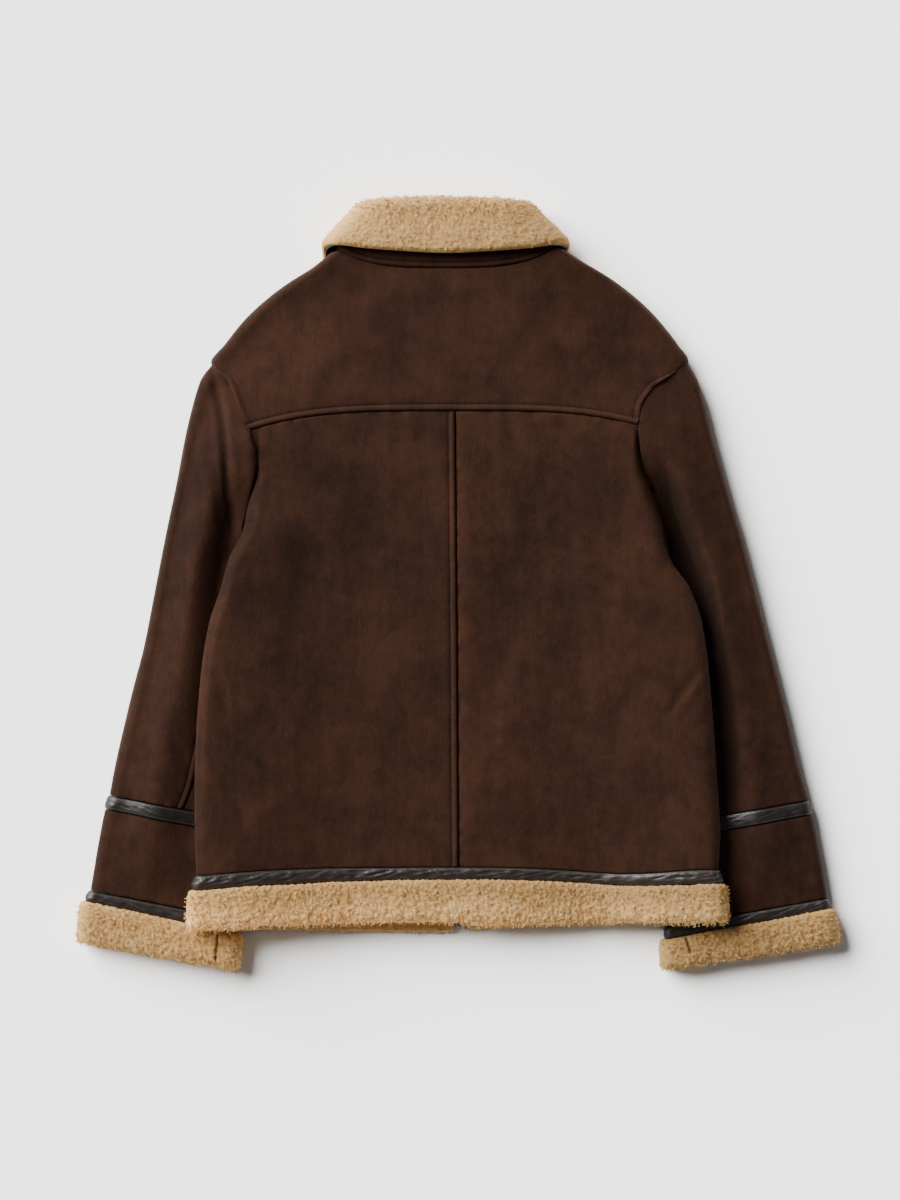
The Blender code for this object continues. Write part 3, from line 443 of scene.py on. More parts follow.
SLEEVE_CREASES = {
    "left": [Crease(*row) for row in (
        (2, 7, 0,
         ((-262, 215), (-255, 150), (-247, 98), (-240, 50), (-244, 12), (-251, -24))),
        (5.2, 4.6, 0.3,
         ((-258, 240), (-251, 205), (-244, 176), (-240, 138), (-237, 96), (-231, 40))),
        (-4.8, 15, 0,
         ((-242, 62), (-249, 25), (-258, -16), (-266, -70), (-272, -130), (-276, -190),
          (-279, -250))),
        (-11, 13, 0, ((-216, 160), (-212, 118), (-216, 88), (-221, 60), (-226, 32))),
        (1.2, 10, 0.4, ((-262, -70), (-266, -120), (-262, -170))),
        (0.9, 5, 0.5, ((-292, 20), (-276, 4))),
        (0.8, 6, 0.4, ((-300, -150), (-284, -176), (-280, -200))),
        (0.9, 12, 0.3, ((-318, -110), (-330, -170))),
    )],
    "right": [Crease(*row) for row in (
        (7.5, 11.5, 0, ((206, 142), (211, 110), (219, 80), (232, 25), (247, -20), (264, -70))),
        (4.5, 12, 0, ((262, -50), (276, -110), (280, -180), (284, -250))),
        (0.7, 4.4, 0.5, ((268, 130), (252, 126), (240, 117))),
        (0.7, 4.8, 0.5, ((280, 94), (262, 90), (246, 82))),
        (0.6, 4.4, 0.5, ((287, 62), (268, 56), (252, 48))),
        (0.6, 5, 0.5, ((293, 30), (272, 27), (258, 22))),
        (0.8, 4.6, 0.5, ((312, -178), (322, -187), (330, -197))),
        (1, 12, 0.3, ((262, -40), (272, -100), (274, -150))),
    )],
}


# -------- smooth rules


def smooth(low, high, value):
    """0 below low, 1 above high, with a soft S between them."""
    part = np.clip((value - low) / (high - low), 0.0, 1.0)
    return part * part * (3.0 - 2.0 * part)


def bell(distance, wide):
    """1 on a line and falling off on both sides of it: e to minus the square of distance / wide."""
    return np.exp(-((distance / wide) ** 2))


def unit(vectors):
    """The same vectors, each divided by its length."""
    return vectors / np.maximum(np.linalg.norm(vectors, axis=-1, keepdims=True), 1e-9)


def summed(steps):
    """Running sum of steps, from 0."""
    return np.concatenate([[0.0], np.cumsum(steps)])


def steps_of(line):
    """Lengths between the neighbouring points of a line."""
    return np.linalg.norm(np.diff(line, axis=0), axis=-1)


def lengths_to(line):
    """Length along a line of points from its start to each of them."""
    return summed(steps_of(line))


def both(first, second):
    """Two places on a surface's scales as arrays of one shape."""
    return np.broadcast_arrays(np.asarray(first, float), np.asarray(second, float))


def slopes(values):
    """Slope of each column at each row that never overshoots the rows beside it."""
    steps = np.diff(values, axis=0)
    before, after = steps[:-1], steps[1:]
    total = before + after
    inner = np.where(before * after > 0, 2.0 * before * after / np.where(total == 0, 1, total), 0.0)
    return np.vstack([steps[:1], inner, steps[-1:]])


def through_rows(rows, station):
    """Cubic curve through table rows; whole stations are the rows themselves."""
    values = np.array(rows, dtype=float)
    station = np.asarray(station, dtype=float)
    first = np.clip(np.floor(station).astype(int), 0, len(values) - 2)
    part = (station - first)[..., None]
    tangent = slopes(values)
    return (
        values[first] * (1 + 2 * part) * (1 - part) ** 2
        + tangent[first] * part * (1 - part) ** 2
        + values[first + 1] * part**2 * (3 - 2 * part)
        + tangent[first + 1] * part**2 * (part - 1)
    )


def columns(rows, station):
    """The table's columns by name at the given stations."""
    return type(rows[0])(*np.moveaxis(through_rows(rows, station), -1, 0))


def normals(surface, across, along):
    """Unit normals of surface(across, along), from its slopes in both directions."""
    step = 0.01
    d_across = surface(across + step, along) - surface(across - step, along)
    d_along = surface(across, along + step) - surface(across, along - step)
    return unit(np.cross(d_across, d_along))


# -------- the body surface


def collar_lift(x, y):
    """Height of the cloth over the part of the collar that lies under it."""
    up = smooth(*COLLAR_LIFT_Y, y)
    wide = 1.0 - smooth(*COLLAR_LIFT_X, np.abs(x))
    return COLLAR_LIFT * up * wide


def settled(x, y):
    """How far the back sinks near the hem between the sleeves, the most on the right."""
    near_hem = 1.0 - smooth(*HEM_SINK_Y, y)
    middle = 1.0 - smooth(*HEM_SINK_X, np.abs(x))
    right = bell(x - HEM_SINK_RIGHT_X, HEM_SINK_RIGHT_WIDE)
    return near_hem * (HEM_SINK * middle + HEM_SINK_RIGHT * right)


def sleeve_inner_x(side, y):
    """Distance of the sleeve's inner edge from the centre line at this height of the body."""
    rows = SLEEVE[side]
    heights = [row.inner_y for row in reversed(rows)]
    return np.interp(y, heights, [abs(row.inner_x) for row in reversed(rows)])


SideFold = namedtuple("SideFold", "sign edge_x edge_y base top radius fold_x reach arc_x")


def side_fold(side, plan, rise):
    """Half-ellipse at one side of the body, from the outline and heights of its station."""
    sign = -1.0 if side == "left" else 1.0
    edge_x, edge_y = getattr(plan, side + "_x"), getattr(plan, side + "_y")
    base = getattr(rise, side + "_base") + collar_lift(edge_x, edge_y)
    top = getattr(rise, side + "_top")
    curl = getattr(rise, side + "_curl")
    radius = (top - base) / 2.0
    fold_x = radius * (FOLD_OPEN + (1.0 - FOLD_OPEN) * curl)
    reach = np.sin(np.radians(np.minimum(CURL_OPEN + (CURL_CLOSED - CURL_OPEN) * curl, 90.0)))
    arc_x = edge_x - sign * fold_x * reach
    return SideFold(sign, edge_x, edge_y, base, top, radius, fold_x, reach, arc_x)


def body(side, station, around):
    """Outer face of half the body.

    around runs 0 to 1 over the back from the centre line to the side, 1 to 2 round the side
    fold, and 2 to 3 under the front from the side to the centre front.
    """
    station, around = both(station, around)
    plan, rise = columns(BODY_OUTLINE, station), columns(BODY_RISE, station)
    fold = side_fold(side, plan, rise)
    over = np.clip(around, 0.0, 1.0)
    turn = np.pi * np.clip(around - 1.0, 0.0, 1.0)
    under = np.clip(around - 2.0, 0.0, 1.0)

    back_x = plan.mid_x + (fold.arc_x - plan.mid_x) * over
    sag = getattr(plan, side + "_sag") * np.sin(np.pi * over**SAG_PLACE) ** 2
    back_y = plan.mid_y + (fold.edge_y - plan.mid_y) * over**NECK_DIP - sag
    back_z = rise.mid_top + (fold.top - rise.mid_top) * smooth(BACK_FLAT, 1.0, over)
    back_z = back_z - settled(back_x, back_y)

    side_x = fold.edge_x - fold.sign * fold.fold_x * (fold.reach - np.sin(turn))
    side_z = fold.base + fold.radius * (1.0 + np.cos(turn))

    front_x = side_x + (fold.sign * getattr(plan, "front_" + side) - side_x) * under
    front_y = fold.edge_y + (plan.front_y - fold.edge_y) * under
    inner = sleeve_inner_x(side, fold.edge_y) + PAD_PAST
    limit = np.minimum(inner, np.abs(fold.edge_x) - fold.fold_x)
    pad = getattr(rise, side + "_base") - rise.rest
    front_z = rise.rest + pad * smooth(limit - PAD_RISE, limit, np.abs(front_x))
    front_z = front_z + collar_lift(front_x, front_y)

    on_back, on_side = around <= 1.0, around <= 2.0
    x = np.where(on_back, back_x, np.where(on_side, side_x, front_x))
    y = np.where(on_back, back_y, np.where(on_side, fold.edge_y, front_y))
    z = np.where(on_back, back_z, np.where(on_side, side_z, front_z))
    return np.stack([x, y, z], axis=-1)


def curl_end(side, station):
    """Where the back panel ends on the side fold, on body()'s scale."""
    curl = getattr(columns(BODY_RISE, station), side + "_curl")
    return 1.0 + (CURL_OPEN + (CURL_CLOSED - CURL_OPEN) * curl) / 180.0


def whole_back(station, around):
    """Back of the body from the left side seam (-2) over the centre (0) to the right (2)."""
    station, around = both(station, around)
    left = body("left", station, np.maximum(-around, 0.0))
    right = body("right", station, np.maximum(around, 0.0))
    return np.where((around < 0.0)[..., None], left, right)


def body_runs(side, station):
    """Lengths over the back, round the side fold and under the front, for each whole step."""
    plan, rise = columns(BODY_OUTLINE, station), columns(BODY_RISE, station)
    fold = side_fold(side, plan, rise)
    over = np.abs(fold.arc_x - plan.mid_x)
    bend = np.pi * np.sqrt((fold.radius**2 + fold.fold_x**2) / 2.0)
    return over, bend, np.abs(fold.edge_x) - fold.fold_x * fold.reach


# -------- the sleeve surface


def armhole(side, part):
    """Point of the armhole seam, part of the way from the shoulder point to the underarm."""
    points = np.array(ARMHOLE[side], dtype=float)
    lengths = np.hypot(*np.diff(points, axis=0).T)
    stations = summed(lengths) / lengths.sum()
    return through_rows(points, np.interp(part, stations, np.arange(len(points))))


def section_parts(row):
    """Width of a sleeve's section, radii of its outer and inner edge, and the flat between."""
    wide = np.hypot(row.inner_x - row.outer_x, row.inner_y - row.outer_y)
    outer_r, inner_r = (row.outer_top - row.base) / 2.0, (row.inner_top - row.base) / 2.0
    return wide, outer_r, inner_r, wide - outer_r - inner_r


def sleeve(side, station, around):
    """Outer face of a sleeve.

    around runs 0 to 1 up round the outer edge, 1 to 2 over the top towards the body, 2 to 3
    down round the inner edge and 3 to 4 back along the underside.
    """
    station, around = both(station, around)
    row = columns(SLEEVE[side], station)
    if side == "left":
        further = INNER_TUCK * bell(row.inner_y - INNER_TUCK_Y, INNER_TUCK_FADE)
        row = row._replace(inner_x=row.inner_x + further)
    around = np.mod(around, 4.0)
    wide, outer_r, inner_r, flat = section_parts(row)
    outer_turn = np.pi * (1.0 - np.clip(around, 0.0, 1.0))
    inner_turn = np.pi * np.clip(around - 2.0, 0.0, 1.0)
    over = np.clip(around - 1.0, 0.0, 1.0)
    under = np.clip(around - 3.0, 0.0, 1.0)
    quarter = [around <= 1.0, around <= 2.0, around <= 3.0]
    q = np.select(
        quarter,
        [outer_r * (1.0 - np.sin(outer_turn)), outer_r + flat * over,
         wide - inner_r * (1.0 - np.sin(inner_turn))],
        wide - inner_r - flat * under,
    )
    part = q / wide
    crown = row.outer_top + (row.crown_top - row.outer_top) * smooth(outer_r / wide, CROWN_AT, part)
    top_z = crown + (row.inner_top - crown) * smooth(CROWN_AT, row.press, part)
    z = np.select(
        quarter,
        [row.base + outer_r * (1.0 + np.cos(outer_turn)), top_z,
         row.base + inner_r * (1.0 + np.cos(inner_turn))],
        row.base,
    )

    def across(ends):
        """The same part of the way from a section's outer edge to its inner one."""
        return (ends.outer_x + (ends.inner_x - ends.outer_x) * part,
                ends.outer_y + (ends.inner_y - ends.outer_y) * part)

    fade = np.clip(1.0 - station / ARMHOLE_FADE, 0.0, 1.0) ** 2
    seam, first_line = armhole(side, part), across(SLEEVE[side][ARMHOLE_ROW])
    x, y = (place + (seam[..., k] - first_line[k]) * fade for k, place in enumerate(across(row)))
    return np.stack([x, y, z], axis=-1)


def sleeve_runs(side, station):
    """Lengths round the outer edge, over the top, round the inner edge and underneath."""
    _, outer_r, inner_r, flat = section_parts(columns(SLEEVE[side], station))
    return np.pi * outer_r, flat, np.pi * inner_r, flat


def elbow(side, station):
    """Where the elbow seam lies on sleeve()'s scale, on its way from the armhole to the strap."""
    down = (station / STRAP_TOP) ** ELBOW_BEND
    return ELBOW_TOP + (ELBOW_LOW[side] - ELBOW_TOP) * down


# -------- the collar surface


def collar(station, along):
    """Cloth line of the collar, on which the pile stands.

    along runs 0 to 1 up the fall from its rim to the fold, 1 to 2 round the fold, and 2 to 3
    down the inside of the stand to the neck seam. Past 3 it goes straight on under the body.
    """
    station, along = both(station, along)
    last = len(COLLAR) - 1

    def rings(at):
        values = through_rows(COLLAR, np.clip(at, 0.0, last))
        return values[..., 0:3], values[..., 3:6], values[..., 6:9]

    seam, fold, rim = rings(station)
    up = unit(fold - seam)
    out = unit(np.cross(rings(station + 0.05)[1] - rings(station - 0.05)[1], up))

    fall = np.clip(along, 0.0, 1.0)[..., None]
    turn = (np.pi * np.clip(along - 1.0, 0.0, 1.0))[..., None]
    stand = np.maximum(along - 2.0, 0.0)[..., None]
    fall_point = rim + (fold + COLLAR_CORE * out - rim) * fall
    turn_point = fold + COLLAR_CORE * (out * np.cos(turn) + up * np.sin(turn))
    stand_point = (fold - COLLAR_CORE * out) * (1.0 - stand) + seam * stand
    point = np.where(along[..., None] <= 1.0, fall_point, turn_point)
    return np.where(along[..., None] <= 2.0, point, stand_point)


# -------- grids in millimetres

# Distances of the grid lines beside a seam, where the welt and its stitch groove are
SEAM_MARKS = (0.0, 0.4, 0.9, 1.6, 2.6, 3.8, 4.8, 5.4, 6.0, 6.5, 7.0, 7.8, 9.0, 10.8)
SEAM_WIDE = SEAM_MARKS[-1]


def marks(length, pitch, seams=True):
    """Distances along a length, close together beside its seams and even between them."""
    edge = SEAM_MARKS if seams else (0.0,)
    steps = max(int(round((length - edge[-1] - edge[-1]) / pitch)), 2)
    middle = np.linspace(edge[-1], length - edge[-1], steps + 1)
    return np.concatenate([edge[:-1], middle, length - np.array(edge[-2::-1])])


def fitted(places, lengths):
    """Places stretched to other lengths, but for those beside the seams, which keep theirs."""
    total = places[-1]
    share = np.clip((places - SEAM_WIDE) / (total - 2.0 * SEAM_WIDE), 0.0, 1.0)
    start = np.minimum(places, SEAM_WIDE)
    end = np.maximum(places - (total - SEAM_WIDE), 0.0)
    return start + share * (lengths - 2.0 * SEAM_WIDE) + end


def place_across(runs, distance):
    """Place on a surface's own scale of a distance across it; each whole step is one run long."""
    place = np.minimum(distance, 0.0) / runs[-1]
    begun = 0.0
    for run in runs:
        place = place + np.clip((distance - begun) / run, 0.0, 1.0)
        begun = begun + run
    return place


def distance_across(runs, place):
    """Distance across a surface of a place on its own scale."""
    distance = np.minimum(place, 0.0) * runs[-1]
    for step, run in enumerate(runs):
        distance = distance + run * np.clip(place - step, 0.0, 1.0)
    return distance


def stations_for(surface, around, ends, pitch, gaps=(SEAM_GAP, SEAM_GAP), seams=True):
    """Column of stations whose rows lie at marks along one line of a surface."""
    dense = np.linspace(ends[0], ends[1], 400)
    lengths = lengths_to(surface(dense, around))
    places = gaps[0] + marks(lengths[-1] - gaps[0] - gaps[1], pitch, seams)
    return np.interp(places, lengths, dense)[:, None]


Grid = namedtuple("Grid", "points outward low high start end")


def grid_on(surface, sign, station, around):
    """Grid of surface points with its outward normals and the distances from its four edges.

    Each distance is the running sum of the lengths between neighbouring grid points.
    """
    station, around = np.broadcast_arrays(station, around)
    points = surface(station, around)
    down = np.linalg.norm(np.diff(points, axis=0), axis=-1)
    across = np.linalg.norm(np.diff(points, axis=1), axis=-1)
    low = np.vstack([np.zeros_like(down[:1]), np.cumsum(down, axis=0)])
    start = np.hstack([np.zeros_like(across[:, :1]), np.cumsum(across, axis=1)])
    outward = sign * normals(surface, station, around)
    return Grid(points, outward, low, low[-1:] - low, start, start[:, -1:] - start)


# -------- uneven cloth

# Distance of a crease's lip from its line and the lip's width, as shares of the trough's width
LIP_AWAY = 1.9
LIP_WIDE = 1.1


def scattered(cell, seed):
    """Random number from 0 to 1 for each whole-numbered cell, the same on every run."""
    mixed = cell @ np.array((73856093, 19349663, 83492791)) + seed * 40503
    for factor in (1274126177, 668265263):
        mixed = (mixed ^ (mixed >> 15)) & 0x7FFFFFFF
        mixed = (mixed * factor) & 0x7FFFFFFF
    return ((mixed >> 7) & 0xFFFF) / 65535.0


def soft_noise(points, size, seed):
    """Smooth random field from -1 to 1: numbers at the corners of a lattice, blended inside it."""
    at = points / np.asarray(size, float)
    corner = np.floor(at).astype(np.int64)
    part = at - corner
    part = part * part * (3.0 - 2.0 * part)
    total = np.zeros(at.shape[:-1])
    for step in np.ndindex(2, 2, 2):
        weight = np.prod(np.where(np.array(step, bool), part, 1.0 - part), axis=-1)
        total += weight * scattered(corner + np.array(step), seed)
    return 2.0 * total - 1.0


def plane_noise(u, v, size, seed):
    """soft_noise at places given as two distances along and across a piece."""
    return soft_noise(np.stack([u, v, 0.0 * u], axis=-1), size, seed)


def nearest_two(points, size, seed):
    """Distances, in cells, to the nearest and next of seats scattered one to each cube."""
    at = points / size
    corner = np.floor(at).astype(np.int64)
    near = np.full(at.shape[:-1], 9.0)
    second = near.copy()
    for step in np.ndindex(3, 3, 3):
        cell = corner + np.array(step) - 1
        seat = cell + np.stack([scattered(cell, seed + 7 * k) for k in range(3)], axis=-1)
        away = np.linalg.norm(at - seat, axis=-1)
        second = np.minimum(second, np.maximum(near, away))
        near = np.minimum(near, away)
    return near, second


def beside_line(points, x, y):
    """Signed distance from a line of points and how far along it each place is, from 0 to 1."""
    points = np.array(points, float)
    steps = np.diff(points, axis=0)
    lengths = np.hypot(*steps.T)
    begun = summed(lengths)
    best, side, share = np.full(x.shape, np.inf), np.ones(x.shape), np.zeros(x.shape)
    for (from_x, from_y), (dx, dy), long, at in zip(points, steps, lengths, begun):
        part = np.clip(((x - from_x) * dx + (y - from_y) * dy) / long**2, 0.0, 1.0)
        away = np.hypot(x - from_x - part * dx, y - from_y - part * dy)
        closer = away < best
        turned = np.where(dx * (y - from_y) - dy * (x - from_x) < 0.0, -1.0, 1.0)
        side = np.where(closer, turned, side)
        share = np.where(closer, (at + part * long) / begun[-1], share)
        best = np.where(closer, away, best)
    return side * best, share


def crease_relief(table, x, y):
    """Height of the listed creases at table points.

    Each is a trough whose depth falls with the square of the distance from its line and tapers
    to its ends, with a lower rounded lip on one side. A negative depth is a ridge.
    """
    total = np.zeros(x.shape)
    for crease in table:
        away, share = beside_line(crease.points, x, y)
        taper = np.sin(np.pi * np.clip(share, 0.0, 1.0)) ** 0.7
        trough = bell(away, crease.wide)
        lip = bell(away - LIP_AWAY * crease.wide, LIP_WIDE * crease.wide)
        total += crease.depth * taper * (crease.lip * lip - trough)
    return total


# -------- making pieces

# Least gap between a wall that faces up and the one below it, and least height of any point
WALL_APART = 1.2
FLOOR_GAP = 0.05


def grid_faces(rows, cols, wrap_rows=False, wrap_cols=False):
    """Quads over a grid of rows by cols vertices, closed on itself where asked."""
    row, col = np.meshgrid(
        np.arange(rows if wrap_rows else rows - 1), np.arange(cols if wrap_cols else cols - 1),
        indexing="ij",
    )
    below, right = (row + 1) % rows, (col + 1) % cols
    quads = [row * cols + col, below * cols + col, below * cols + right, row * cols + right]
    return np.stack(quads, axis=-1).reshape(-1, 4)


def repeated(faces, count, step):
    """The faces of one shape, for each of several that have step vertices each."""
    return (faces + (np.arange(count) * step)[:, None, None]).reshape(-1, faces.shape[-1])


def facing_out(faces, points, outward):
    """The faces, turned round if they look against the outward normals of their first corners."""
    spots = points.reshape(-1, 3)
    a, b, c = spots[faces[:, 0]], spots[faces[:, 1]], spots[faces[:, 2]]
    agree = (np.cross(b - a, c - a) * outward.reshape(-1, 3)[faces[:, 0]]).sum()
    return faces if agree > 0 else faces[:, ::-1]


def new_mesh(name, points, faces, numbers=None):
    """Mesh from points in millimetres, lists of faces with as many corners each, and named
    numbers, one for each point."""
    mesh = bpy.data.meshes.new(name)
    spots = ((above_floor(points).reshape(-1, 3) - MIDDLE) * MM).astype(np.float32)
    corners = np.concatenate([group.ravel() for group in faces]).astype(np.int32)
    sizes = np.concatenate([np.full(len(group), group.shape[1]) for group in faces])
    starts = np.concatenate([[0], np.cumsum(sizes)[:-1]]).astype(np.int32)
    mesh.vertices.add(len(spots))
    mesh.vertices.foreach_set("co", spots.ravel())
    mesh.loops.add(len(corners))
    mesh.loops.foreach_set("vertex_index", corners)
    mesh.polygons.add(len(starts))
    mesh.polygons.foreach_set("loop_start", starts)
    for key, values in (numbers or {}).items():
        held = mesh.attributes.new(key, "FLOAT", "POINT")
        held.data.foreach_set("value", np.ascontiguousarray(values, np.float32).ravel())
    mesh.update(calc_edges=True)
    if mesh.validate():
        raise ValueError(f"{name} had faces that could not be made")
    mesh.shade_smooth()
    return mesh


def add_piece(mesh, finish, nodes=()):
    """Shows a mesh as one piece of the jacket that stands for the named solids."""
    slot, material = finish
    mesh.materials.append(material)
    piece = bpy.data.objects.new(mesh.name, mesh)
    collection = bpy.data.collections.get("jacket")
    if collection is None:
        collection = bpy.data.collections.new("jacket")
        bpy.context.scene.collection.children.link(collection)
    collection.objects.link(piece)
    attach(piece, BODY)
    if nodes:
        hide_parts(*nodes)
    return piece


def wall_piece(name, grid, height, finish, thick, numbers, wrap=False):
    """Thin wall whose outer face is a grid raised by a height along its outward normals."""
    points = grid.points + height[..., None] * grid.outward
    lowest = (2.0 * thick + WALL_APART) * smooth(0.0, 0.4, grid.outward[..., 2])
    points[..., 2] = np.maximum(points[..., 2], lowest)
    faces = facing_out(grid_faces(*height.shape, wrap_cols=wrap), points, grid.outward)
    piece = add_piece(new_mesh(name, points, [faces], numbers), finish, (SHEETS[name].node,))
    wall = piece.modifiers.new("wall", "SOLIDIFY")
    wall.thickness = thick * MM
    wall.offset = -1.0
    return piece, points


def line_at(points, outward, distances, wanted, rows=slice(None)):
    """Line of grid points at a wanted distance from an edge, one in each of the rows, and its
    outward normals."""
    nearest = np.abs(distances - wanted).argmin(axis=1)
    at = np.arange(len(points))[rows], nearest[rows]
    return points[at], outward[at]


def cross_line_at(points, outward, distances, wanted):
    """The same for a distance from the edge where the rows begin or end, one point per column."""
    return line_at(points.swapaxes(0, 1), outward.swapaxes(0, 1), distances.T, wanted)


def stitches(name, lines, finish, pitch, long, thick):
    """Row of stitches along each line: short four-sided rods with pointed, sunken ends.

    Each rod follows the line from one place to the next and rises in its middle by half a
    sine wave.
    """
    ring = np.array([0.0, 0.1, 0.5, 0.9, 1.0])
    girth = np.array([0.12, 0.85, 1.0, 0.85, 0.12]) * thick
    spin = np.arange(4) * np.pi / 2.0 + np.pi / 4.0
    placed = []
    for line, up in lines:
        lengths = lengths_to(line)
        begin = np.arange(0.5 * (pitch - long), lengths[-1] - long, pitch)
        at = begin[:, None] + long * ring
        path, rise = (np.stack([np.interp(at, lengths, part[:, k]) for k in range(3)], axis=-1)
                      for part in (line, up))
        aside = np.cross(unit(path[:, -1:] - path[:, :1]), rise)
        path = path + rise * (thick * (1.3 * np.sin(np.pi * ring) - 0.9))[:, None]
        around = (
            aside[:, :, None] * (girth[:, None] * np.cos(spin))[..., None]
            + rise[:, :, None] * (girth[:, None] * np.sin(spin))[..., None]
        )
        placed.append((path[:, :, None] + around).reshape(-1, len(ring) * 4, 3))
    points = np.concatenate(placed)
    one = grid_faces(len(ring), 4, wrap_cols=True)
    ends = np.array([[3, 2, 1, 0], [16, 17, 18, 19]])
    faces = np.concatenate([one, ends])[:, ::-1]
    faces = repeated(faces, len(points), len(ring) * 4)
    return add_piece(new_mesh(name, points, [faces]), finish)


# -------- suede

# Radius of a welt's rolled edge, and widths of its stitch groove on the seam's side and beyond
WELT_ROLL = 1.1
GROOVE_STEEP = 1.0
GROOVE_GENTLE = 2.0

# The edge under a welt: its drop beside the seam, the distances over which the drop and the
# broader hollow fade, its puckers' height, and the two sizes of noise that shape them
EDGE_DROP = 0.5
EDGE_FADE = 1.0
HOLLOW_FADE = 7.5
PUCKER_HIGH = 0.5
PUCKER_LONG = 7.0
PUCKER_CHANGE = 23.0

# Waves of the cloth: height, patch width and length, and seed of the noise
WAVES = ((1.5, 85.0, 140.0, 11), (0.55, 34.0, 60.0, 12), (0.16, 13.0, 19.0, 13))


def welt(distance, size):
    """Height of a seam's welt at distances from the seam, in millimetres.

    The edge rolls down into the seam, the band beside it stands up as far as the stitch line,
    and the stitches pull a groove there, steep on the welt's side and gentle on the other.
    """
    rolled = bell(distance, WELT_ROLL)
    past = distance - size.welt_wide
    band = 1.0 - smooth(-2.2, 0.3, past)
    groove = bell(past, np.where(past < 0.0, GROOVE_STEEP, GROOVE_GENTLE))
    return size.welt_high * band * (1.0 - rolled) - WELT_ROLL * rolled - size.stitch_deep * groove


def sunk(distance, along, seed, wide=0.15):
    """Height of the edge that lies under a welt: sunk at the seam, with small puckers.

    wide is the depth of the broader hollow beside it.
    """
    pull = plane_noise(along, 0.0 * along, PUCKER_LONG, seed)
    reach = 6.5 + 3.0 * plane_noise(along, 0.0 * along, PUCKER_CHANGE, seed + 1)
    bowl = EDGE_DROP * bell(distance, EDGE_FADE) + wide * bell(distance, HOLLOW_FADE)
    return -bowl + PUCKER_HIGH * pull * bell(distance, reach)


def drape(points):
    """Broad shallow waves of a sheepskin that lies flat: three sizes of soft noise."""
    plan = points * (1.0, 1.0, 0.0)
    return sum(high * soft_noise(plan, (wide, long, 100.0), seed)
               for high, wide, long, seed in WAVES)


def suede_relief(grid, table, strength=1.0):
    """Waves and listed creases of a suede grid, where it faces upwards."""
    facing = smooth(0.25, 0.85, grid.outward[..., 2])
    return facing * strength * (
        drape(grid.points) + crease_relief(table, grid.points[..., 0], grid.points[..., 1])
    )


def nap_tone_and_painted_light(grid, creases, seams, painted_light):
    """Tone of the suede, 0 being even: painted shade in grooves and troughs and on the sides that
    face left, lighter where welts stand proud, a painted highlight passed in by the caller, and
    darker or lighter areas."""
    x, y = grid.points[..., 0], grid.points[..., 1]
    # Painted shade in the seams' grooves and in the creases and troughs
    painted_shade = np.clip(-seams / 0.8 - 0.4, 0.0, 1.0) + np.clip(-creases / 7.0, 0.0, 0.7)
    # Lighter where welts stand proud, plus the painted highlight passed in by the caller
    tone = 0.35 * (np.clip(seams / 1.2, 0.0, 1.0) + painted_light) - 0.85 * painted_shade
    # Painted shade on the sides that face left, towards the key light, to dim them
    tone = tone - 0.45 * smooth(0.15, 0.8, -grid.outward[..., 0])
    for amount, half_x, half_y, mid_x, mid_y in TONE_AREAS:
        tone += amount * np.exp(-(((x - mid_x) / half_x) ** 2) - ((y - mid_y) / half_y) ** 2)
    return {"tone": tone}


def suede_panel(name, grid, creases, seams, sewn, finishes, size, wrap=False, painted_light=0.0):
    """Suede panel with its creases, its seam edges and the stitches beside them.

    sewn has one entry for each row of stitches: line_at or cross_line_at, the distances from the
    seam, and the grid rows if not all. The last argument is where the nap gets a painted highlight.
    """
    piece, points = wall_piece(name, grid, creases + seams, finishes["suede"], size.suede_thick,
                               nap_tone_and_painted_light(grid, creases, seams, painted_light), wrap)
    lines = [find(points, grid.outward, distances, size.welt_wide, *rows)
             for find, distances, *rows in sewn]
    threads = []
    if lines:
        threads = [stitches(name + "_stitches", lines, finishes["thread"], *size.stitch)]


# Lines along which the rows of the back, of the underside and of a sleeve are spaced
BACK_LINE = 0.5
UNDER_LINE = 2.6
SLEEVE_LINE = 1.3


def mirrored(half):
    """Places from the last of half on the left, over 0, to the last of half on the right."""
    return np.concatenate([-half[:0:-1], half])


def back_grid(side, pitch):
    """Grid of one half of the back, from the centre-back seam to the side seam."""
    surface = partial(body, side)
    station = stations_for(surface, BACK_LINE, (HEM_STRIP_TOP, YOKE_SEAM), pitch)
    runs = body_runs(side, station)
    end = distance_across(runs, curl_end(side, station))
    distance = SEAM_GAP + fitted(marks(end.max() - SEAM_GAP, pitch), end - SEAM_GAP)
    return grid_on(surface, OUTWARDS[side], station, place_across(runs, distance))


def yoke_grid(pitch):
    """Grid of the back yoke, from the left shoulder fold to the right one."""
    station = stations_for(whole_back, BACK_LINE, (YOKE_SEAM, NECK), pitch)
    runs = {side: body_runs(side, station) for side in SIDES}
    left, right = (distance_across(runs[side], curl_end(side, station)) for side in SIDES)
    distance = fitted(marks((left + right).max(), pitch), left + right) - left
    around = np.where(
        distance < 0.0,
        -place_across(runs["left"], np.abs(distance)),
        place_across(runs["right"], np.abs(distance)),
    )
    return grid_on(whole_back, -1.0, station, around)


def front_grid(side, pitch):
    """Grid of a front panel, from the side seam underneath to the zip."""
    surface = partial(body, side)
    station = stations_for(surface, UNDER_LINE, (HEM_STRIP_TOP, NECK), pitch)
    runs = body_runs(side, station)
    start, end = distance_across(runs, FRONT_START), distance_across(runs, 3.0)
    distance = start + fitted(marks((end - start).max(), pitch), end - start)
    return grid_on(surface, OUTWARDS[side], station, place_across(runs, distance))


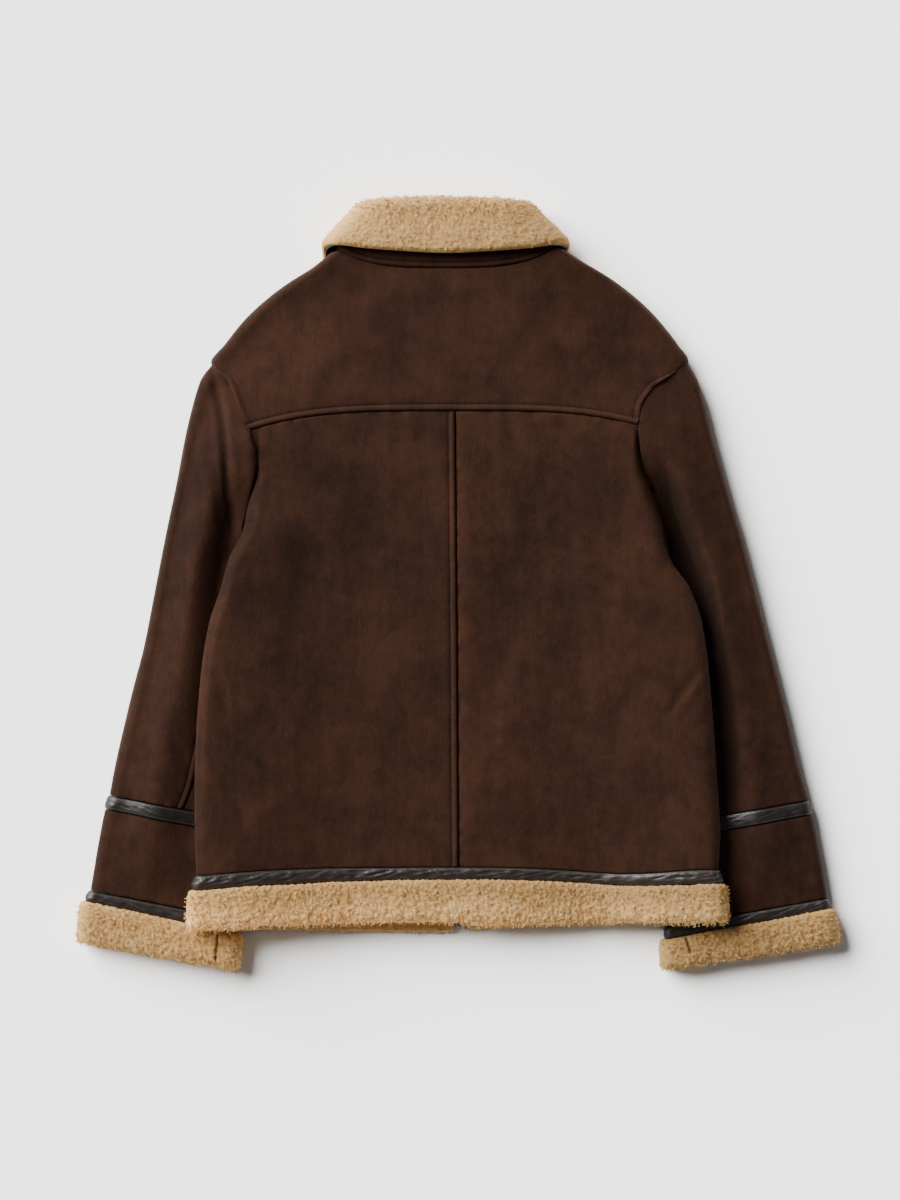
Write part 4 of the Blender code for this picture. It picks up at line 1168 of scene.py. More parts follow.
def sleeve_grid(side, part, pitch):
    """Grid of the top or under sleeve, from the armhole to the strap."""
    surface = partial(sleeve, side)
    ends = (ARMHOLE_ROW - SLEEVE_TUCK, STRAP_TOP)
    station = stations_for(surface, SLEEVE_LINE, ends, pitch, (0.0, SEAM_GAP))
    runs = sleeve_runs(side, station)
    seam = distance_across(runs, elbow(side, np.maximum(station, 0.0)))
    below = distance_across(runs, UNDER_SEAM)
    if part == "top":
        start, end = below - sum(runs) + SEAM_GAP, seam - SEAM_GAP
    else:
        start, end = seam + SEAM_GAP, below - SEAM_GAP
    distance = start + fitted(marks((end - start).max(), pitch), end - start)
    return grid_on(surface, OUTWARDS[side], station, place_across(runs, distance))


def ring_grid(side, ends, pitch, row_pitch, seams=False):
    """Grid round a whole sleeve between two stations."""
    surface = partial(sleeve, side)
    station = stations_for(surface, SLEEVE_LINE, ends, row_pitch, seams=seams)
    runs = sleeve_runs(side, station)
    steps = int(sum(runs).max() / pitch)
    around = np.arange(steps) / steps
    return grid_on(surface, OUTWARDS[side], station, place_across(runs, around * sum(runs)))


# Where the armhole's welt fades away at the shoulder and at the underarm, where its stitches end,
# how far from another seam a welt begins, and how far down the sleeve the elbow's stitches begin
SHOULDER_WELT_FADE_Y = (225.0, 240.0)
UNDERARM_WELT_FADE_Y = (8.0, 50.0)
SHOULDER_STITCH_TOP_Y = 236.0
UNDERARM_STITCH_Y = 20.0
WELT_BEGIN = 6.0
ELBOW_STITCH_FROM = 40.0

# Width of the band along the centre-back seam where the right back has a painted highlight,
# width over which a sleeve sinks under the body, and width of the fronts' sunk edges
HIGHLIGHT_WIDE = 10.0
TUCK_WIDE = 7.5
FRONT_EDGE_SUNK = 1.3


def make_backs(size, finishes):
    """Back yoke and both back panels, with their welts and stitch lines."""
    grid = yoke_grid(size.pitch)
    at_armhole = 1.0 - smooth(*SHOULDER_WELT_FADE_Y, grid.points[..., 1])
    side = np.minimum(grid.start, grid.end)
    seams = welt(grid.low, size) + at_armhole * welt(side, size) * smooth(0.0, WELT_BEGIN, grid.low)
    seams = seams + 0.6 * sunk(grid.high, grid.start, 31)
    rows = grid.points[:, 0, 1] < SHOULDER_STITCH_TOP_Y
    sewn = [(cross_line_at, grid.low), (line_at, grid.start, rows), (line_at, grid.end, rows)]
    creases = suede_relief(grid, BODY_CREASES)
    suede_panel("yoke", grid, creases, seams, sewn, finishes, size)

    for side in SIDES:
        grid = back_grid(side, size.pitch)
        seams = sunk(grid.high, grid.start, 41 + len(side))
        rows = grid.points[:, -1, 1] > UNDERARM_STITCH_Y
        sewn = [(line_at, grid.end, rows)]
        if side == "left":
            seams = seams + welt(grid.start, size)
            sewn.append((line_at, grid.start))
            painted_highlight = 0.0
        else:
            seams = seams + sunk(grid.start, grid.low, 47, 0.3)
            # Painted highlight on the right back beside the centre-back seam, where its edge rises
            # towards the key light
            painted_highlight = bell(grid.start, HIGHLIGHT_WIDE) * smooth(0.6, 1.8, grid.start)
        at_armhole = smooth(*UNDERARM_WELT_FADE_Y, grid.points[..., 1])
        at_armhole = at_armhole * smooth(0.0, WELT_BEGIN, grid.high)
        seams = seams + at_armhole * welt(grid.end, size) + 0.5 * sunk(grid.low, grid.start, 53)
        creases = suede_relief(grid, BODY_CREASES)
        suede_panel("back_panel_" + side, grid, creases, seams, sewn, finishes, size,
                    painted_light=painted_highlight)


def make_fronts(size, finishes):
    """Both front panels, which lie underneath."""
    for side in SIDES:
        grid = front_grid(side, size.hidden_pitch)
        still = np.zeros(grid.low.shape)
        seams = -bell(np.minimum(grid.start, grid.end), FRONT_EDGE_SUNK)
        sewn = [(line_at, grid.end)]
        suede_panel("front_panel_" + side, grid, still, seams, sewn, finishes, size)


def make_sleeves(size, finishes):
    """Top sleeve, under sleeve and lower sleeve of both arms."""
    for side in SIDES:
        table = SLEEVE_CREASES[side]
        for part, pitch in (("top", size.pitch), ("under", size.hidden_pitch)):
            grid = sleeve_grid(side, part, pitch)
            tucked = 1.0 - smooth(0.0, TUCK_WIDE, grid.low)
            tucked = tucked * smooth(0.25, 0.8, grid.outward[..., 2])
            seams = 0.5 * sunk(grid.low, grid.start, 61) + 0.8 * sunk(grid.high, grid.start, 67)
            seams = seams - TUCK_DEEP * tucked
            if part == "top":
                seams = seams + 0.8 * welt(grid.end, size)
                sewn = [(line_at, grid.end, grid.low[:, 0] > ELBOW_STITCH_FROM)]
            else:
                seams = seams + sunk(grid.start, grid.low, 71)
                sewn = []
            creases = suede_relief(grid, table, 0.8)
            suede_panel(part + "_sleeve_" + side, grid, creases, seams, sewn, finishes, size)

        grid = ring_grid(side, (STRAP_LOW, CUFF_STRIP_TOP), size.pitch, size.pitch, True)
        seams = 0.8 * sunk(grid.low, grid.start, 73) + 0.8 * sunk(grid.high, grid.start, 79)
        creases = suede_relief(grid, table, 0.9)
        suede_panel("lower_sleeve_" + side, grid, creases, seams, [], finishes, size, True)


# -------- leather

# Distance of a strip's stitches from its edge
STRIP_STITCH = 1.7

# Wrinkles of the leather: how wide and long they are and how far they slant, width of the fine
# ones that cross them, and of the patches where they are strong
WRINKLE_WIDE = 2.7
WRINKLE_LONG = 15.0
WRINKLE_SLANT = 0.2
FINE_WIDE = 3.0
FINE_LONG = 9.0
PATCH_WIDE = 45.0

# Height of the wrinkles on each kind of strip
STRAP_ROUGH = 0.32
CUFF_ROUGH = 0.6
HEM_BACK_ROUGH = 1.3
HEM_FRONT_ROUGH = 0.4

# Spacing of the strips' grids round the sleeve, and across each strip where it shows and beneath
RING_PITCH = 1.6
STRIP_PITCH = 0.9
HIDDEN_STRIP_PITCH = 1.4


def strip_piece(name, grid, finishes, size, rough, wrap=False, low=True, high=True):
    """Leather strip with rolled edges, slanting wrinkles and a stitch row beside its edges.

    The wrinkles are ridges of soft noise in distances along and across the strip, stretched at
    a slant, and rough is their height.
    """
    tall = grid.low + grid.high
    edge = np.minimum(grid.low, grid.high)
    along, across = grid.start, grid.low
    slant_u = (across - WRINKLE_SLANT * along) / WRINKLE_WIDE
    slant_v = (along + WRINKLE_SLANT * across) / WRINKLE_LONG
    ridge = 1.0 - 2.0 * np.abs(plane_noise(slant_u, slant_v, 1.0, 91))
    fine = plane_noise((along + across) / FINE_WIDE, across / FINE_LONG, 1.0, 92)
    patch = smooth(-0.5, 0.6, plane_noise(along, across, PATCH_WIDE, 93))
    inside = smooth(0.0, 0.28, edge / tall)
    wrinkles = rough * (0.6 + 0.4 * patch) * ridge + 0.3 * rough * fine
    height = STRIP_OUT + 0.2 * inside + inside * wrinkles
    crown = 1.0 - (2.0 * grid.low / tall - 1.0) ** 2
    height = height + 0.7 * rough * crown
    height = height - bell(edge, 0.7) - 0.3 * bell(edge - STRIP_STITCH, 0.6)
    # Where the strip turns to face sideways at its ends
    over = smooth(0.45, 0.9, np.abs(grid.outward[..., 0]))
    # crease: dull creases, and roughness where the strip turns sideways. The second number is
    # painted sheen, lighter on strips with taller wrinkles, and painted shade where the strip turns
    # sideways, to hold back its reflection
    numbers = {"crease": inside * np.clip(0.5 - 0.5 * ridge, 0.0, 1.0) * patch + 3.0 * over,
               "pale": 0.45 * (rough - 0.7) - 1.5 * over}
    piece, points = wall_piece(
        name, grid, height, finishes["leather"], size.leather_thick, numbers, wrap
    )
    lines = []
    for wanted, distances in ((low, grid.low), (high, grid.high)):
        if wanted:
            line = cross_line_at(points, grid.outward, distances, STRIP_STITCH)
            lines.append([np.vstack([part, part[:1]]) for part in line] if wrap else line)
    thread = stitches(name + "_stitches", lines, finishes["leather_thread"], *size.fine_stitch)


def make_strips(size, finishes):
    """Leather strips: the strap and the cuff strip of each sleeve, and those of the hem."""
    for side in SIDES:
        grid = ring_grid(side, (STRAP_TOP, STRAP_LOW), RING_PITCH, STRIP_PITCH)
        strip_piece("strap_leather_" + side, grid, finishes, size, STRAP_ROUGH, True)
        grid = ring_grid(side, (CUFF_STRIP_TOP, CUFF_SEAM), RING_PITCH, STRIP_PITCH)
        strip_piece("cuff_leather_" + side, grid, finishes, size, CUFF_ROUGH, True, high=False)
    ends = (HEM_SEAM, HEM_STRIP_TOP)
    station = stations_for(whole_back, BACK_LINE, ends, STRIP_PITCH, seams=False)
    half = np.linspace(0.0, BACK_END, 240)
    grid = grid_on(whole_back, -1.0, station, mirrored(half))
    strip_piece("hem_leather_back", grid, finishes, size, HEM_BACK_ROUGH, low=False)
    for side in SIDES:
        surface = partial(body, side)
        station = stations_for(surface, UNDER_LINE, ends, HIDDEN_STRIP_PITCH, seams=False)
        grid = grid_on(surface, OUTWARDS[side], station, np.linspace(FRONT_START, 3.0, 130))
        strip_piece("hem_leather_front_" + side, grid, finishes, size, HEM_FRONT_ROUGH, low=False)


# -------- fleece

# Spacing of a pile band's grid on its inner side, power of its rounded outline, and length over
# which its open ends are rounded
INNER_PILE_PITCH = 3.0
PILE_OUTLINE_POWER = 2.7
END_ROUND = 5.0

# Half-width and depth of the slits in the cuffs' fleece, and how much painted shade darkens them
SLIT_WIDE = 1.0
SLIT_DEEP = 2.2
SLIT_SHADE = 0.93

# How far the locks lean down the jacket
BAND_LEAN = (0.0, -0.35, 0.0)
COLLAR_LEAN = (0.0, -0.3, 0.0)


def rounded_square(turn, power):
    """Points of the curve |x|^n + |y|^n = 1 at angles."""
    return [np.sign(part) * np.abs(part) ** (2.0 / power) for part in (np.cos(turn), np.sin(turn))]


def pile_outline(out, inn, pitch):
    """Closed outline of a pile band as share of its height and distance off the cloth: a rounded
    square stretched to them, sampled closely on its outer side."""
    u, v = rounded_square(np.linspace(0.0, 2.0 * np.pi, 1441), PILE_OUTLINE_POWER)
    share, off = 0.5 - 0.5 * u, (out - inn) / 2.0 + (out + inn) / 2.0 * v
    step = np.hypot(np.diff(share) * FLEECE_TALL, np.diff(off))
    weight = np.where(v[:-1] > -0.55, 1.0 / pitch, 1.0 / INNER_PILE_PITCH)
    lengths = summed(step * weight)
    places = np.arange(int(lengths[-1])) / int(lengths[-1]) * lengths[-1]
    return np.interp(places, lengths, share), np.interp(places, lengths, off)


def loop_normals(points, centre, ring):
    """Outward unit normals of a closed band, from the differences between its neighbours."""
    down = np.roll(points, -1, axis=0) - np.roll(points, 1, axis=0)
    if ring:
        across = np.roll(points, -1, axis=1) - np.roll(points, 1, axis=1)
    else:
        across = np.gradient(points, axis=1)
    normal = unit(np.cross(down, across))
    turn = 1.0 if (normal * (points - centre)).sum() > 0 else -1.0
    return turn * normal


def row_steps(points):
    """Length from each point of a closed band to the next one round its outline."""
    return np.linalg.norm(np.roll(points, -1, axis=0) - points, axis=-1)


def above_floor(points):
    """Points in millimetres with none of them below the floor."""
    return np.concatenate([points[..., :2], np.maximum(points[..., 2:], FLOOR_GAP)], axis=-1)


def curls(points, size, seed):
    """Height of curly pile from 0 to 1: domes round scattered seats with clefts between, which the
    pile's colour darkens as painted shade.

    The places are first pushed about by soft noise, so that no dome is round.
    """
    push = np.stack([soft_noise(points, 1.3 * size, seed + k) for k in range(3)], axis=-1)
    near, second = nearest_two(points + 0.45 * size * push, size, seed)
    dome = np.sqrt(np.clip(1.0 - (near / 0.95) ** 2, 0.0, 1.0))
    cleft = smooth(0.0, 0.35, second - near)
    return dome * (0.45 + 0.55 * cleft)


def pile_band(name, points, centre, ring, finishes, size, big, exposed, big_place=0.0, combed=1.0):
    """Closed band of curly pile: its points pushed out along their normals by two sizes of curl.

    big is how much of the large curls there is at each point, exposed how much pile, and combed
    how many times longer than wide the curls are, up and down the jacket.
    """
    outward = loop_normals(points, centre, ring)
    seats = points * (1.0, 1.0 / combed, 1.0)
    small = curls(seats, size.curl, 101)
    large = curls(seats, 1.7 * size.curl, 103)
    tiny = curls(seats, 0.6 * size.curl, 107)
    broad = soft_noise(points, 26.0, 109)
    body_of = (1.0 - big) * (0.75 * small + 0.25 * large) + big * (0.3 * small + 0.7 * large)
    lift = size.pile_high * (1.0 + 0.5 * big)
    height = exposed * (lift * (body_of - 0.5) / combed + 0.25 * tiny + 0.7 * broad)
    placed = points + height[..., None] * outward
    # Colour depth of the pile: painted shade low in the clefts, painted highlight on the curl tops
    depth = 1.0 - (1.0 - np.clip(0.8 * body_of + 0.2 * tiny, 0.0, 1.0)) / combed
    # lit is painted light: brighter on the left, towards the key light
    middle, change = PILE_LIGHT.get(name, PLAIN_LIGHT)
    lit = middle + change * points[..., 0] / 100.0
    # Painted shade: the hem's band is darker towards its top
    if name.startswith("hem_pile"):
        lit = lit * (0.74 + 0.34 * smooth(0.15, 0.8, big_place))
    if name in CUFF_SLITS:
        away, share = beside_line(CUFF_SLITS[name], points[..., 0], points[..., 1])
        slit = bell(away, SLIT_WIDE) * (outward[..., 2] > 0.1) * smooth(0.0, 0.05, share)
        placed = placed - (SLIT_DEEP * slit)[..., None] * outward
        # Painted shade in the slits
        lit = lit * (1.0 - SLIT_SHADE * slit)
    rows, cols = height.shape
    faces = [facing_out(grid_faces(rows, cols, True, ring), placed, outward)]
    if not ring:
        first = np.arange(rows) * cols
        swap = 1 if (faces[0][0][1] == cols) else -1
        faces.append(first[None, ::swap])
        faces.append((first + cols - 1)[None, ::-swap])
    numbers = {"depth": depth, "big": big * np.ones_like(depth), "lit": lit}
    mesh = new_mesh(name, placed, faces, numbers)
    piece = add_piece(mesh, finishes["fleece"], (SHEETS[name].node,))
    return piece, placed, outward, lit


# Rings of a lock from its root to its tip: how far up and aside, girth, and depth of its colour,
# whose painted shade darkens the root
LOCK_RINGS = ((-0.25, 0.0, 1.0, 0.8), (0.45, 0.25, 0.85, 0.85), (0.75, 0.75, 0.5, 0.95),
              (0.72, 1.15, 0.08, 1.0))
LOCK_TURNS = (0.0, 2.0944, 4.1888)


def tufts(name, points, outward, lit, weight, lean, finishes, size, count, seed):
    """Small curved locks scattered over a band where weight allows: three-sided tapering rods
    of two steps, leaning a random way, each bent further over at its tip."""
    chance = np.random.default_rng(seed)
    flat = points.reshape(-1, 3)
    share = (weight / weight.sum()).ravel()
    picked = chance.choice(len(flat), size=count, p=share)
    root, up = flat[picked], outward.reshape(-1, 3)[picked]
    root = root + chance.normal(0.0, 0.35, root.shape)
    aside = unit(np.cross(up, chance.normal(0.0, 1.0, up.shape)))
    other = np.cross(up, aside)
    long = size.tuft_long * chance.uniform(0.6, 1.25, (count, 1))
    bend = chance.uniform(0.3, 1.0, (count, 1))
    rows = []
    for share_up, share_side, girth, _ in LOCK_RINGS:
        middle = root + long * (share_up * up + share_side * bend * (aside + lean))
        for turn in LOCK_TURNS:
            reach = size.tuft_thick * girth * (np.cos(turn) * other + np.sin(turn) * up)
            rows.append(middle + reach)
    places = np.stack(rows, axis=1)
    faces = repeated(grid_faces(4, 3, wrap_cols=True), count, 12)
    caps = repeated(np.array([[0, 1, 2], [11, 10, 9]]), count, 12)
    ends = np.array([ring[-1] for ring in LOCK_RINGS]).repeat(3)
    numbers = {"depth": np.tile(ends, count), "big": np.full(count * 12, 0.3),
               "lit": lit.ravel()[picked].repeat(12)}
    mesh = new_mesh(name, places, [faces[:, ::-1], caps[:, ::-1]], numbers)
    mesh.shade_flat()
    return add_piece(mesh, finishes["fleece"])


def rounded_ends(points, centre, inset):
    """A band shrunk towards its middle line by a quarter circle where inset falls from 1 to 0."""
    scale = np.maximum(np.sqrt(1.0 - (1.0 - inset) ** 2), 0.02)
    return centre + scale[None, :, None] * (points - centre)


def band_points(surface, sign, ends, around, size, ring):
    """Closed pile outline carried round a surface, with its open ends rounded off."""
    share, off = pile_outline(FLEECE_OUT, FLEECE_IN, size.pile_pitch)
    station = ends[0] + (ends[1] - ends[0]) * share[:, None]
    outward = sign * normals(surface, station, around)
    points = surface(station, around) + off[:, None, None] * outward
    middle = 0.5 * (ends[0] + ends[1])
    out_middle = sign * normals(surface, np.full((1, 1), middle), around)
    centre = surface(np.full((1, 1), middle), around)
    centre = centre + 0.5 * (FLEECE_OUT - FLEECE_IN) * out_middle
    if not ring:
        lengths = lengths_to(centre[0])
        inset = np.clip(np.minimum(lengths, lengths[-1] - lengths) / END_ROUND, 0.0, 1.0)
        points = rounded_ends(points, centre, inset)
    return points, centre, share[:, None] * np.ones(points.shape[1]), off[:, None]


def make_band(name, surface, sign, ends, around, finishes, size, ring, count, curly=0.0):
    """One fleece band of the hem or a cuff, with its scattered locks."""
    points, centre, share, off = band_points(surface, sign, ends, around, size, ring)
    if name == "hem_pile_back":
        x = points[..., 0]
        left = smooth(*FRONT_PEEKS_FROM_X, x) * (1.0 - smooth(*FRONT_PEEKS_TO_X, x))
        points[..., 1] += FRONT_PEEKS * smooth(0.5, 1.0, share) * left
    if name == "hem_pile_front_left":
        points[..., 1] -= FRONT_LOWER * smooth(0.3, 1.0, share)
    exposed = smooth(-FLEECE_IN, 0.0, off) * np.ones_like(share)
    big = curly * smooth(0.45, 0.9, share + 0.12 * soft_noise(points, 18.0, 121))
    piece, placed, outward, lit = pile_band(
        name, points, centre, ring, finishes, size, big, exposed, share
    )
    weight = row_steps(points) * exposed * (0.4 + smooth(0.6, 1.0, share))
    weight = weight * smooth(0.03, 0.2, share) + 1e-9
    locks = tufts(name + "_locks", placed, outward, lit, weight, BAND_LEAN, finishes, size, count,
                  17 + len(name))


def make_fleece(size, finishes):
    """Fleece bands of the hem and the cuffs."""
    half = np.concatenate([
        np.linspace(0.0, 1.0, int(HALF_BACK / size.pile_pitch)),
        np.linspace(1.0, BACK_END, 26)[1:],
    ])
    make_band("hem_pile_back", whole_back, -1.0, (HEM_SEAM, HEM_END), mirrored(half), finishes,
              size, False, size.locks, 1.0)
    for side in SIDES:
        under = np.linspace(FRONT_START, 3.0, 150)
        make_band("hem_pile_front_" + side, partial(body, side), OUTWARDS[side],
                  (HEM_SEAM, HEM_END), under, finishes, size, False, size.locks // 8)
        runs = sleeve_runs(side, np.full((1, 1), CUFF_END - 0.5))
        total = sum(runs)
        steps = int(float(total.squeeze()) / (1.1 * size.pile_pitch))
        around = place_across(runs, total * np.arange(steps) / steps)
        make_band("cuff_pile_" + side, partial(sleeve, side), OUTWARDS[side],
                  (CUFF_SEAM, CUFF_END), around, finishes, size, True, size.locks // 2, 0.6)


# -------- collar

# Spacing of the collar's hidden pile, and of its cloth where it shows and under the body
HIDDEN_COLLAR_PITCH = 5.0
COLLAR_CLOTH_PITCHES = (4.0, 8.0)

# Part of a station over which the pile's front ends are rounded, and how many times longer than
# wide its curls are
COLLAR_END_ROUND = 0.12
COLLAR_COMBED = 1.35

# Where the suede of the stand begins, where its rows draw together and where it ends
STAND_ALONG = (2.08, 2.8, 3.09)

# Share of a solid's thickness that the shown cloth has, which keeps it off the cloth below
SHOWN_SHARE = 0.9


def collar_stations(pitch, hidden_pitch):
    """Stations round the collar, close together where it shows and wide apart under the body."""
    dense = np.linspace(0.0, len(COLLAR) - 1.0, 2001)
    shows = (dense[:-1] > COLLAR_SHOWS[0]) & (dense[:-1] < COLLAR_SHOWS[1])
    count = summed(steps_of(collar(dense, 0.7)) / np.where(shows, pitch, hidden_pitch))
    return np.interp(np.linspace(0.0, count[-1], int(count[-1]) + 1), count, dense)


def collar_outline(pitch, hidden_pitch):
    """Rows of the outline in COLLAR_PILE, close together on its outer side, and their places.

    Their spacing is measured round the pile at the centre back.
    """
    outline = np.array(COLLAR_PILE + COLLAR_PILE[:1])
    place = np.linspace(0.0, len(outline) - 1.0, 1301)
    along, gap, share = through_rows(outline, place).T
    station = np.full(len(place), (len(COLLAR) - 1) / 2.0)
    off = gap + share * columns(COLLAR, station).pile
    trace = collar(station, along) + off[:, None] * normals(collar, station, along)
    outer = place[:-1] < COLLAR_OUTER
    count = summed(steps_of(trace) / np.where(outer, pitch, hidden_pitch))
    steps = int(count[-1])
    at = np.interp(np.arange(steps) / steps * count[-1], count, place)
    return through_rows(outline, at), at[:, None]


def make_collar_pile(size, finishes):
    """Pile of the fall, its fold and the stand's inside, which shows round the back."""
    rows, at = collar_outline(size.pile_pitch, HIDDEN_COLLAR_PITCH)
    station = collar_stations(size.pile_pitch, HIDDEN_COLLAR_PITCH)[None, :]
    along = rows[:, :1]
    off = rows[:, 1:2] + rows[:, 2:3] * columns(COLLAR, station).pile
    points = collar(station, along) + off[..., None] * normals(collar, station, along)
    centre = points.mean(axis=0, keepdims=True)
    inset = np.clip(np.minimum(station, len(COLLAR) - 1.0 - station) / COLLAR_END_ROUND, 0.0, 1.0)
    points = rounded_ends(points, centre, inset[0])
    shows = smooth(COLLAR_SHOWS[0] - 0.6, COLLAR_SHOWS[0], station) * (
        1.0 - smooth(COLLAR_SHOWS[1], COLLAR_SHOWS[1] + 0.6, station))
    outside = smooth(-0.2, 0.6, at) * (1.0 - smooth(6.5, COLLAR_OUTER, at))
    rim = 1.0 - 0.8 * bell(along, 0.035) * (at < 4.0)
    exposed = outside * rim * (0.15 + 0.85 * shows)
    pile, placed, outward, lit = pile_band(
        "collar_pile", points, np.broadcast_to(centre, points.shape), False, finishes, size,
        0.0 * exposed, exposed, combed=COLLAR_COMBED
    )
    weight = row_steps(points) * outside * shows * (0.35 + smooth(0.75, 1.1, along))
    weight = weight * (along > 0.04) + 1e-9
    locks = tufts("collar_pile_locks", placed, outward, lit, weight, COLLAR_LEAN, finishes, size,
                  size.locks // 2, 5)


def make_undercollar(finishes):
    """Leather on the fall's underside, softly uneven, with rolled front edges."""
    station = collar_stations(*COLLAR_CLOTH_PITCHES)[:, None]
    grid = grid_on(collar, -1.0, station, np.linspace(0.02, 0.93, 24)[None, :])
    edge = -0.8 * bell(np.minimum(grid.start, grid.end), 0.9)
    height = LINING_GAP + UNDERCOLLAR + 0.35 * soft_noise(grid.points, 17.0, 131) + edge
    even = np.zeros(height.shape)
    piece, _ = wall_piece(
        "collar_underside", grid, height, finishes["leather"], UNDERCOLLAR * SHOWN_SHARE,
        {"crease": even, "pale": even}
    )


def make_collar_stand(finishes):
    """Suede stand, which goes down beside the neck seam and is tucked under the body past it."""
    start, bend, end = STAND_ALONG
    along = np.concatenate([np.linspace(start, bend, 20)[:-1], np.linspace(bend, end, 24)])
    grid = grid_on(collar, -1.0, collar_stations(*COLLAR_CLOTH_PITCHES)[:, None], along[None, :])
    past = grid.start - (grid.start + grid.end) * (3.0 - start) / (end - start)
    tucked = smooth(-1.5, 1.5, past)
    stitched = bell(past + STAND_WELT, 1.0)
    height = (LINING_GAP + CLOTH) * (1.0 - tucked) - 0.7 * stitched
    height = height + 0.35 * (1.0 - tucked) * soft_noise(grid.points, 17.0, 131)
    # Its tone number is painted shade: darker where it goes under the body and in its stitch groove
    piece, _ = wall_piece(
        "collar_stand_suede", grid, height, finishes["suede"], CLOTH * SHOWN_SHARE,
        {"tone": -np.maximum(tucked, 0.7 * stitched)}
    )


def make_collar(size, finishes):
    """Pile of the fall and its fold, the leather undercollar and the suede stand."""
    make_collar_pile(size, finishes)
    make_undercollar(finishes)
    make_collar_stand(finishes)


# -------- centre front closure


def zip_height(y):
    """Height of the outer face of the front panels along the centre front."""
    station = np.arange(len(BODY_OUTLINE), dtype=float)
    plan, rise = columns(BODY_OUTLINE, station), columns(BODY_RISE, station)
    return np.interp(y, plan.front_y, rise.rest + collar_lift(0.0 * plan.front_y, plan.front_y))


# Corners round a plate, and its rings: share of its thickness and scale
PLATE_SIDES = 32
PLATE_RINGS = ((0.0, 0.82), (0.18, 1.0), (0.82, 1.0), (1.0, 0.82))


def plate_points(y_ends, z_ends, half_x, power):
    """Rounded plate: rings of rounded squares, smaller at its top and bottom."""
    turn = np.linspace(0.0, 2.0 * np.pi, PLATE_SIDES, endpoint=False)
    x, y = rounded_square(turn, power)
    rings = []
    for level, scale in PLATE_RINGS:
        half_y = (y_ends[1] - y_ends[0]) / 2.0 - (1.0 - scale) * half_x
        z = z_ends[0] + (z_ends[1] - z_ends[0]) * level
        rings.append(np.stack(
            [x * half_x * scale, y * half_y + sum(y_ends) / 2.0, np.full_like(x, z)], axis=-1))
    return np.stack(rings)


def plates(name, solids, finish, node):
    """Several rounded plates as one piece."""
    points = np.stack(solids)
    rings, rim = len(PLATE_RINGS), np.arange(PLATE_SIDES)
    one = grid_faces(rings, PLATE_SIDES, wrap_cols=True)[:, ::-1]
    caps = np.stack([rim[::-1], rim + (rings - 1) * PLATE_SIDES])
    faces = [repeated(part, len(points), rings * PLATE_SIDES) for part in (one, caps)]
    return add_piece(new_mesh(name, points, faces), finish, (node,))


def make_zip(size, finishes):
    """Tapes, both rows of teeth, the slider with its tab, and the end box."""
    y = np.arange(TAPE_LOW_Y, ZIP_TOP_Y, TAPE_ROW)
    for side in SIDES:
        across = -OUTWARDS[side] * (TAPE_START + np.linspace(0.0, TAPE_WIDE, 12))
        x, rows = np.meshgrid(across, y)
        points = np.stack([x, rows, zip_height(rows) + TAPE_LOW], axis=-1)
        down = np.broadcast_to((0.0, 0.0, -1.0), points.shape)
        gap = np.abs(x) - TAPE_START
        grid = Grid(points, down, rows - y[0], y[-1] - rows, gap, TAPE_WIDE - gap)
        ribs = TAPE_RIB * np.cos(gap * 2.0 * np.pi / TAPE_RIB_WIDE)
        name = "zip_tape_cloth_" + side
        tape, _ = wall_piece(name, grid, ribs, finishes["zip_tape"], TAPE_THICK, {})

    count = int((ZIP_TOP_Y - TEETH_END - ZIP_LOW_Y) / TOOTH_PITCH)
    teeth = []
    for sign, shift in ((-1.0, 0.0), (1.0, 0.5)):
        middle = ZIP_LOW_Y + FIRST_TOOTH + TOOTH_PITCH * (np.arange(count) + shift)
        low = zip_height(middle) + TEETH_LOW
        for reach, half_y, inset in TOOTH_RINGS:
            for turn_y, turn_z in ((-1, 0), (1, 0), (1, 1), (-1, 1)):
                z = low + (inset if turn_z == 0 else TEETH_THICK - inset)
                teeth.append(np.stack(
                    [np.full(count, sign * reach), middle + turn_y * half_y, z], axis=-1))
    points = np.stack(teeth).reshape(2, 16, count, 3).swapaxes(1, 2)
    one = np.concatenate([grid_faces(4, 4, wrap_cols=True), [[0, 1, 2, 3], [15, 14, 13, 12]]])
    faces = [repeated(turned + row * count * 16, count, 16)
             for row, turned in enumerate((one[:, ::-1], one))]
    add_piece(new_mesh("zip_teeth_rows", points, faces), finishes["zip_metal"], ("zip_teeth",))

    top = TEETH_LOW - SEAM_GAP + COLLAR_LIFT
    low = top - SLIDER_THICK
    plates("zip_slider_and_tab", [
        plate_points((ZIP_TOP_Y - SLIDER_LONG, ZIP_TOP_Y), (low, top), 3.0, 3.5),
        plate_points((ZIP_TOP_Y - TAB_LONG, ZIP_TOP_Y - 2.0), (low - TAB_THICK, low), 2.7, 3.0),
    ], finishes["zip_metal"], "zip_slider")
    middle = zip_height(BOX_LOW_Y + 6.0) + TEETH_LOW
    plates("zip_end_box", [
        plate_points((BOX_LOW_Y, ZIP_LOW_Y - SEAM_GAP),
                     (middle - BOX_HALF_THICK, middle + BOX_HALF_THICK), TEETH_HALF, 5.0),
    ], finishes["zip_metal"], "zip_box")


# -------- materials


